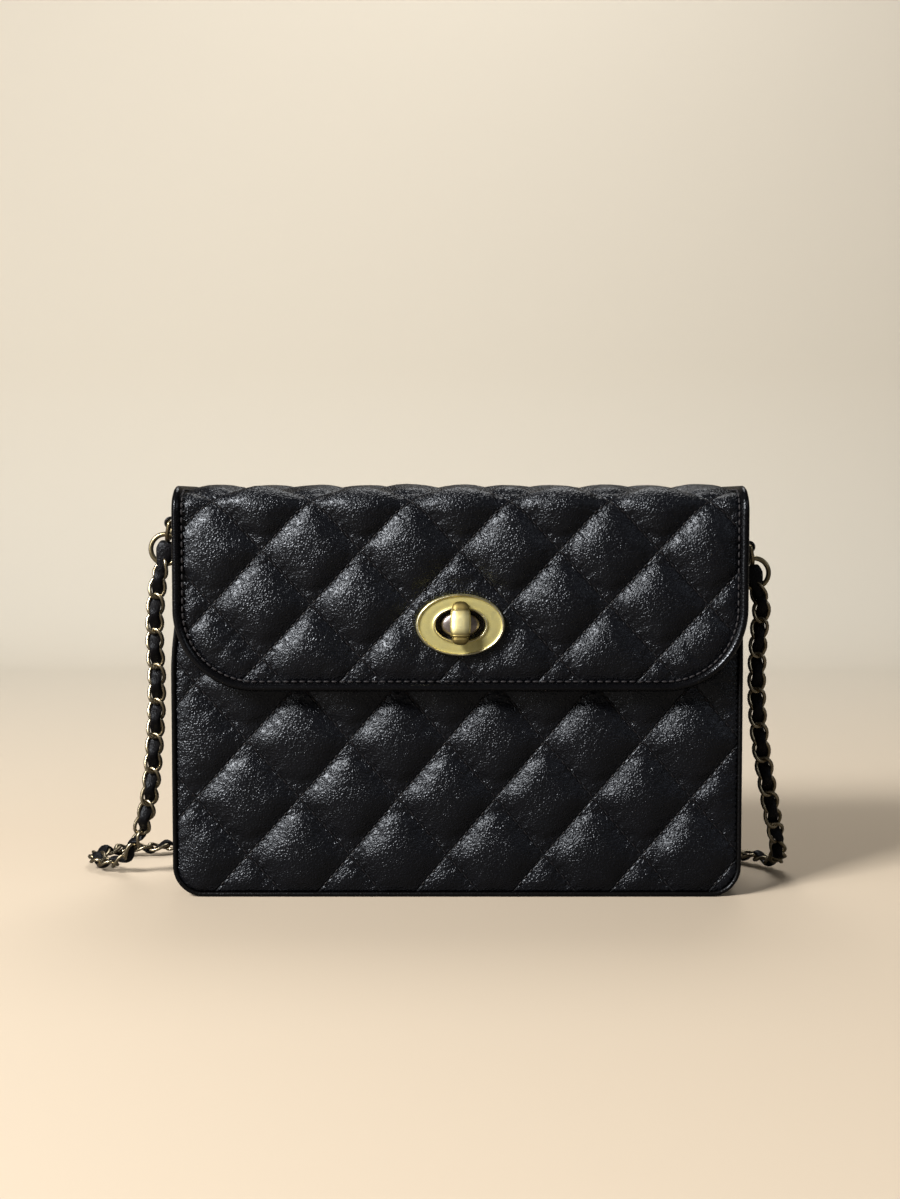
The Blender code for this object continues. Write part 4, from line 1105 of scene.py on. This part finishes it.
def bindingPlace(s, t):
    level, height = loopPlace(bindingSpec["section"], s)
    side = (2 * t - 1) * bindingSpec["half"]
    return Vector((side, level, height + ripple(0.00012, side * 60, height * 60, 5)))


binding = wrapGrid("mouthBinding", bindingPlace, len(bindingSpec["section"]), 90, closeAround=True,
                   capped=True)
smooth(binding, 55)
places = [axesAt(Vector((x, *bindingSpec["stitchRow"])), Vector((1, 0, 0)), Vector((0, -1, 0)))
          for x in np.arange(*bindingSpec["stitchRun"])]
bindingStitches = copiesOf(capsule(*bindingSpec["stitch"]), places, "bindingStitches")
finish(binding, leather["smooth"], "bag", "piping", "mouth_binding")
finish(bindingStitches, seamThread, "bag", "piping")

pipingSpec = {"half": 0.1091, "low": 0.0010, "radius": 0.0111, "wire": 0.0009, "front": (-0.0190, 0.1400),
              "back": (0.0347, 0.1527)}


def makePiping(word):
    level, high = pipingSpec[word]
    spec = dict(pipingSpec, high=high)
    length = outlineLength(spec)

    def place(s, t):
        (x, z), (inX, inZ) = outlineAt(length * t, spec)
        turn = 2 * pi * s
        wrinkle = 1 + ripple(0.035, x * 420, s * 2, z * 420)
        out = spec["wire"] * wrinkle * min(1, 0.35 + min(t, 1 - t) * 900)
        return Vector((x - inX * out * cos(turn), level + out * sin(turn), z - inZ * out * cos(turn)))
    piping = wrapGrid(word + "Piping", place, 12, 420, closeAround=True, capped=True)
    sagged(piping)
    finish(piping, leather["piping"], "bag", "piping", word + "_piping")


makePiping("front")
makePiping("back")

tabSpec = {
    "wall": 0.1103, "width": 0.0080, "thickness": 0.0012, "height": {"left": 0.1466, "right": 0.1369},
    "centre": 0.1165, "eye": 0.0020, "stitch": (0.0020, 0.0007, 0.0005),
}


def makeTab(word, side):
    high, centre, eye = tabSpec["height"][word], tabSpec["centre"], tabSpec["eye"]
    thickness = tabSpec["thickness"]
    wall = tabSpec["wall"] + thickness / 2
    rows = [(wall, 0, high - 0.0168), (wall, 0, high - 0.0130), (wall + 0.0001, 0, high - 0.0090),
            (wall + 0.0008, 0, high - 0.0062), (centre - 0.0030, 0, high - 0.0036)]
    turns = [radians(a) for a in range(-108, 109, 27)]
    rows += [(centre + eye * cos(t), 0, high + eye * sin(t)) for t in turns]
    rows += [(centre - 0.0030, 0, high + 0.0008), (wall + 0.0011, 0, high - 0.0012),
             (wall + 0.0002, 0, high - 0.0024)]
    line = smoothLine(rows, 64)

    def place(s, t):
        middle, ahead = alongLine(line, t)
        turn = 2 * pi * s
        across = squared(cos(turn), 0.45) * tabSpec["width"] / 2
        spot = middle + Vector((-ahead.z, 0, ahead.x)) * (squared(sin(turn), 0.6) * thickness / 2)
        return Vector((side * spot.x, caseMiddle + across * (1 - 0.12 * (t > 0.995)), spot.z))
    tab = wrapGrid(word + "Tab", place, 20, 63, closeAround=True, capped=True)
    rows = [(y, high - drop) for y in (-0.0030, 0.0030) for drop in (0.0155, 0.0129, 0.0103)]
    rows += [(y, high - 0.0163) for y in (-0.0015, 0.0015)]
    face = side * (tabSpec["wall"] + thickness + 0.0001)
    places = [axesAt(Vector((face, caseMiddle + y, z)),
                     Vector((0, 0, 1)) if abs(y) > 0.002 else Vector((0, 1, 0)), Vector((side, 0, 0)))
              for y, z in rows]
    stitches = copiesOf(capsule(*tabSpec["stitch"]), places, word + "TabStitches")
    finish(tab, leather["smooth"], "bag", "piping", word + "_tab")
    finish(stitches, seamThread, "bag", "piping")


makeTab("left", -1)
makeTab("right", 1)
print("leather edges, linings, gusset and tabs made")


# Turn lock

lockSpec = {
    "height": 0.1080, "outer": (0.0170, 0.01185), "slot": (0.0096, 0.00635), "rimLevel": 0.0381,
    "plate": [(0.0, 0.0361), (-0.012, 0.0372), (0.0, 0.0379), (0.03, 0.0384), (0.075, 0.0386), (0.12, 0.0385),
              (0.15, 0.0381), (0.17, 0.03795), (0.22, 0.0379), (0.5, 0.03795), (0.80, 0.0379),
              (0.835, 0.03795), (0.86, 0.0381), (0.89, 0.0385), (0.935, 0.0386), (0.975, 0.0384),
              (1.0, 0.0379), (1.0, 0.0372), (1.0, 0.0361)],
    "base": [(0.0, 0.0, 0.03720), (0.0036, 0.0024, 0.0371), (0.0058, 0.0039, 0.0368),
             (0.0070, 0.0047, 0.0363), (0.0077, 0.0051, 0.0354), (0.0079, 0.0052, 0.0342),
             (0.0079, 0.0052, 0.0300), (0.0083, 0.0055, 0.0296), (0.0122, 0.0078, 0.0296),
             (0.0129, 0.0084, 0.0294), (0.0130, 0.0085, 0.0290), (0.0130, 0.0085, 0.0284),
             (0.0, 0.0, 0.0284)],
    "knob": [(-0.0080, 0.0), (-0.0079, 0.0013), (-0.0076, 0.0021), (-0.0070, 0.0028), (-0.0062, 0.0032),
             (-0.0055, 0.00335), (-0.0053, 0.0030), (-0.0051, 0.0030), (-0.0049, 0.0034), (-0.0044, 0.0036),
             (-0.0041, 0.00345), (-0.0039, 0.0036), (-0.0030, 0.0038), (-0.0016, 0.00393), (0.0, 0.00395),
             (0.0016, 0.00393), (0.0030, 0.0038), (0.0042, 0.00365), (0.0048, 0.0034), (0.0050, 0.0030),
             (0.0052, 0.0030), (0.0054, 0.00335), (0.0062, 0.0032), (0.0070, 0.0028), (0.0076, 0.0021),
             (0.0079, 0.0013), (0.0080, 0.0)],
    "knobStretch": 1.03, "knobRise": 0.0010, "knobLean": 0.20, "knobSquare": 0.62, "knobLevel": 0.0416,
    "knobDepth": 0.0056 / 0.0079, "neck": 0.0029, "neckLevels": (0.0375, 0.0405),
}


def levelPoint(x, level, z):
    return Vector((x, caseMiddle - level, lockSpec["height"] + z))


def platePlace(s, t):
    share, level = linePlace(lockSpec["plate"], s)
    wide, tall = [outer + (slot - outer) * share for outer, slot in zip(lockSpec["outer"], lockSpec["slot"])]
    return levelPoint(wide * cos(2 * pi * t), level, tall * sin(2 * pi * t))


def basePlace(s, t):
    wide, tall, level = linePlace(lockSpec["base"], s)
    return levelPoint(wide * cos(2 * pi * t), level, tall * sin(2 * pi * t))


def knobPlace(s, t):
    # The grip is flat in front, with rounded sides
    height, reach = linePlace(lockSpec["knob"], t)
    across, deep = [squared(value, lockSpec["knobSquare"]) for value in (cos(2 * pi * s), sin(2 * pi * s))]
    level = lockSpec["knobLevel"] + reach * lockSpec["knobDepth"] * deep - height * lockSpec["knobLean"]
    return levelPoint(reach * across, level, height * lockSpec["knobStretch"] + lockSpec["knobRise"])


def neckPlace(s, t):
    low, high = lockSpec["neckLevels"]
    reach = lockSpec["neck"] * (1 + 0.12 * (1 - t) ** 6)
    return levelPoint(reach * cos(2 * pi * s), low + (high - low) * t, reach * sin(2 * pi * s))


plate = wrapGrid("lockPlate", platePlace, (len(lockSpec["plate"]) - 1) * 2, 96, closeAlong=True)
enterEdit(plate, "DESELECT", "EDGE")
bpy.ops.mesh.select_non_manifold()
bpy.ops.mesh.bridge_edge_loops()
leaveEdit(outwards=True)
smooth(plate, 60)
finish(plate, brass["lock"], "flap_front", "lock_brass", "lock_plate")
# The raised rims take the lighter brass, a painted highlight
plate.data.materials.append(brass["rim"])
for face in plate.data.polygons:
    if caseMiddle - face.center.y > lockSpec["rimLevel"]:
        face.material_index = 1
lockBase = wrapGrid("lockBoss", basePlace, (len(lockSpec["base"]) - 1) * 2, 72, closeAlong=True)
smooth(lockBase, 50)
finish(lockBase, brass["boss"], "bag", "lock_brass", "lock_base")
knob = wrapGrid("turnKnob", knobPlace, 40, (len(lockSpec["knob"]) - 1) * 2, closeAround=True)
smooth(knob, 60)
finish(knob, brass["knob"], "knob", "lock_brass", "turn_knob")
neck = wrapGrid("knobNeck", neckPlace, 32, 8, closeAround=True, capped=True)
smooth(neck, 60)
finish(neck, brass["knob"], "knob", "lock_brass")


# Rings

ringSpec = {
    "side": 0.1165, "height": {"left": 0.1466, "right": 0.1369}, "tilt": 13.3,
    "bowWidth": 0.0118, "bowDrop": 0.0072, "bowWire": 0.0018, "middle": 0.0060, "wire": 0.0020,
    "centreDrop": 0.0072 + 0.0060 - 0.0010 - 0.0009 - 0.0004,
}


def makeRing(word, side):
    tilt = radians(ringSpec["tilt"])
    out = Vector((side * sin(tilt), 0, -cos(tilt)))
    across = Vector((0, 1, 0))
    place = Vector((side * ringSpec["side"], caseMiddle, ringSpec["height"][word]))
    half, drop, wire = ringSpec["bowWidth"] / 2, ringSpec["bowDrop"], ringSpec["bowWire"] / 2
    bow = [place + across * (half * cos(t)) + out * (drop * sin(t)) for t in [pi * i / 28 for i in range(29)]]
    bow += [place + across * (-half + 2 * half * i / 14) for i in range(1, 14)]
    route = Route([tuple(p) for p in bow + bow[:1]])

    def bowPlace(s, t):
        middle, after, before = [route.at(route.length * ((t + step) % 1.0)) for step in (0, 0.01, -0.01)]
        plane = out.cross(across).normalized()
        other = (after - before).normalized().cross(plane)
        return middle + plane * wire * cos(2 * pi * s) + other * wire * sin(2 * pi * s)
    dRing = wrapGrid(word + "DRing", bowPlace, 14, 72, closeAround=True, closeAlong=True)
    centre = place + out * ringSpec["centreDrop"]
    freshStart()
    bpy.ops.mesh.primitive_torus_add(major_segments=64, minor_segments=16, major_radius=ringSpec["middle"],
                                     minor_radius=ringSpec["wire"] / 2)
    ring = bpy.context.object
    ring.name = word + "Ring"
    for vert in ring.data.vertices:
        vert.co = centre + Vector((vert.co.x, vert.co.z, vert.co.y))
    faceOut(ring)
    smooth(ring)
    for piece, node in ((dRing, "_d_ring"), (ring, "_round_ring")):
        finish(piece, brass["ring"], word + "_ring", "ring_brass", word + node)


makeRing("left", -1)
makeRing("right", 1)
print("lock and rings made")


# Floor, backdrop and light

setSpec = {"floor": (0.69, 0.59, 0.47), "wall": (0.74, 0.70, 0.62), "bend": 0.30, "wallPlace": 1.15,
           "frontPlace": -6.0, "width": 14.0, "flatShare": 0.3, "bendShare": 0.6, "wallRise": 40,
           "dark": (0.05, 0.045, 0.04, 1), "darkInReflections": 0.90, "fade": (0.10, 1.0),
           "world": (0.92, 0.90, 0.86, 1), "worldLight": 0.06, "worldSeen": 0.55}


def stagePlace(s, t):
    side = (s - 0.5) * setSpec["width"]
    bend, front, wall = setSpec["bend"], setSpec["frontPlace"], setSpec["wallPlace"]
    flat = wall - bend
    if t < setSpec["flatShare"]:
        return Vector((side, front + (flat - front) * t / setSpec["flatShare"], 0))
    turn = (t - setSpec["flatShare"]) / setSpec["bendShare"] * pi / 2
    if t < 0.9:
        return Vector((side, flat + bend * sin(turn), bend * (1 - cos(turn))))
    return Vector((side, wall, bend + (t - 0.9) * setSpec["wallRise"]))


backdrop = wrapGrid("backdrop", stagePlace, 4, 90)
material, tree, shader = newMaterial("paleBackdrop", setSpec["floor"], 0.9)
parts = addNode(tree, "ShaderNodeSeparateXYZ", {0: objectCoords(tree)}).outputs
pale = mixColour(tree, remap(tree, parts[1], *setSpec["fade"]), (*setSpec["floor"], 1), (*setSpec["wall"], 1))
# In reflections the set is darker, as the dark side of a studio is
glossy = addNode(tree, "ShaderNodeLightPath").outputs["Is Glossy Ray"]
dark = maths(tree, "MULTIPLY", glossy, setSpec["darkInReflections"])
feed(tree, shader, {"Base Color": mixColour(tree, dark, pale, setSpec["dark"])})
setMaterial(backdrop, material)

lightSpec = [
    {"name": "keyLight", "place": (-1.0, -1.0, 1.03), "aim": (0, 0, 0.09),
     "size": (0.42, 0.42), "power": 37.5, "colour": (1.0, 0.96, 0.90)},
    {"name": "fillLight", "place": (1.2, -0.6, 0.8), "aim": (0, 0, 0.07),
     "size": (0.5, 0.5), "power": 1.0, "colour": (0.95, 0.97, 1.0)},
    {"name": "sideLight", "place": (-1.15, -0.62, 0.50), "aim": (0, 0, 0.10),
     "size": (0.35, 0.9), "power": 5.0, "colour": (1.0, 0.97, 0.92)},
    {"name": "backLight", "place": (0.1, 0.70, 1.3), "aim": (0, 0.3, 0.0),
     "size": (0.7, 0.7), "power": 6.0, "colour": (1.0, 0.98, 0.95)},
]
for spec in lightSpec:
    freshStart()
    aim = Vector(spec["aim"]) - Vector(spec["place"])
    bpy.ops.object.light_add(type="AREA", location=spec["place"],
                             rotation=aim.to_track_quat("-Z", "Y").to_euler())
    lamp = bpy.context.object
    lamp.name = spec["name"]
    lamp.data.shape = "RECTANGLE"
    lamp.data.size, lamp.data.size_y = spec["size"]
    lamp.data.energy = spec["power"]
    lamp.data.color = spec["colour"]

world = bpy.data.worlds.new("studio")
world.use_nodes = True
background = world.node_tree.nodes["Background"].inputs
background["Color"].default_value = setSpec["world"]
# The world is seen brighter than it lights, so that no view ends in a dark band
seen = addNode(world.node_tree, "ShaderNodeLightPath").outputs["Is Camera Ray"]
strength = maths(world.node_tree, "MULTIPLY_ADD", seen, setSpec["worldSeen"], setSpec["worldLight"])
feed(world.node_tree, background, {"Strength": strength})
scene.world = world
scene.view_settings.view_transform = "Standard"
print("stage and lights ready")
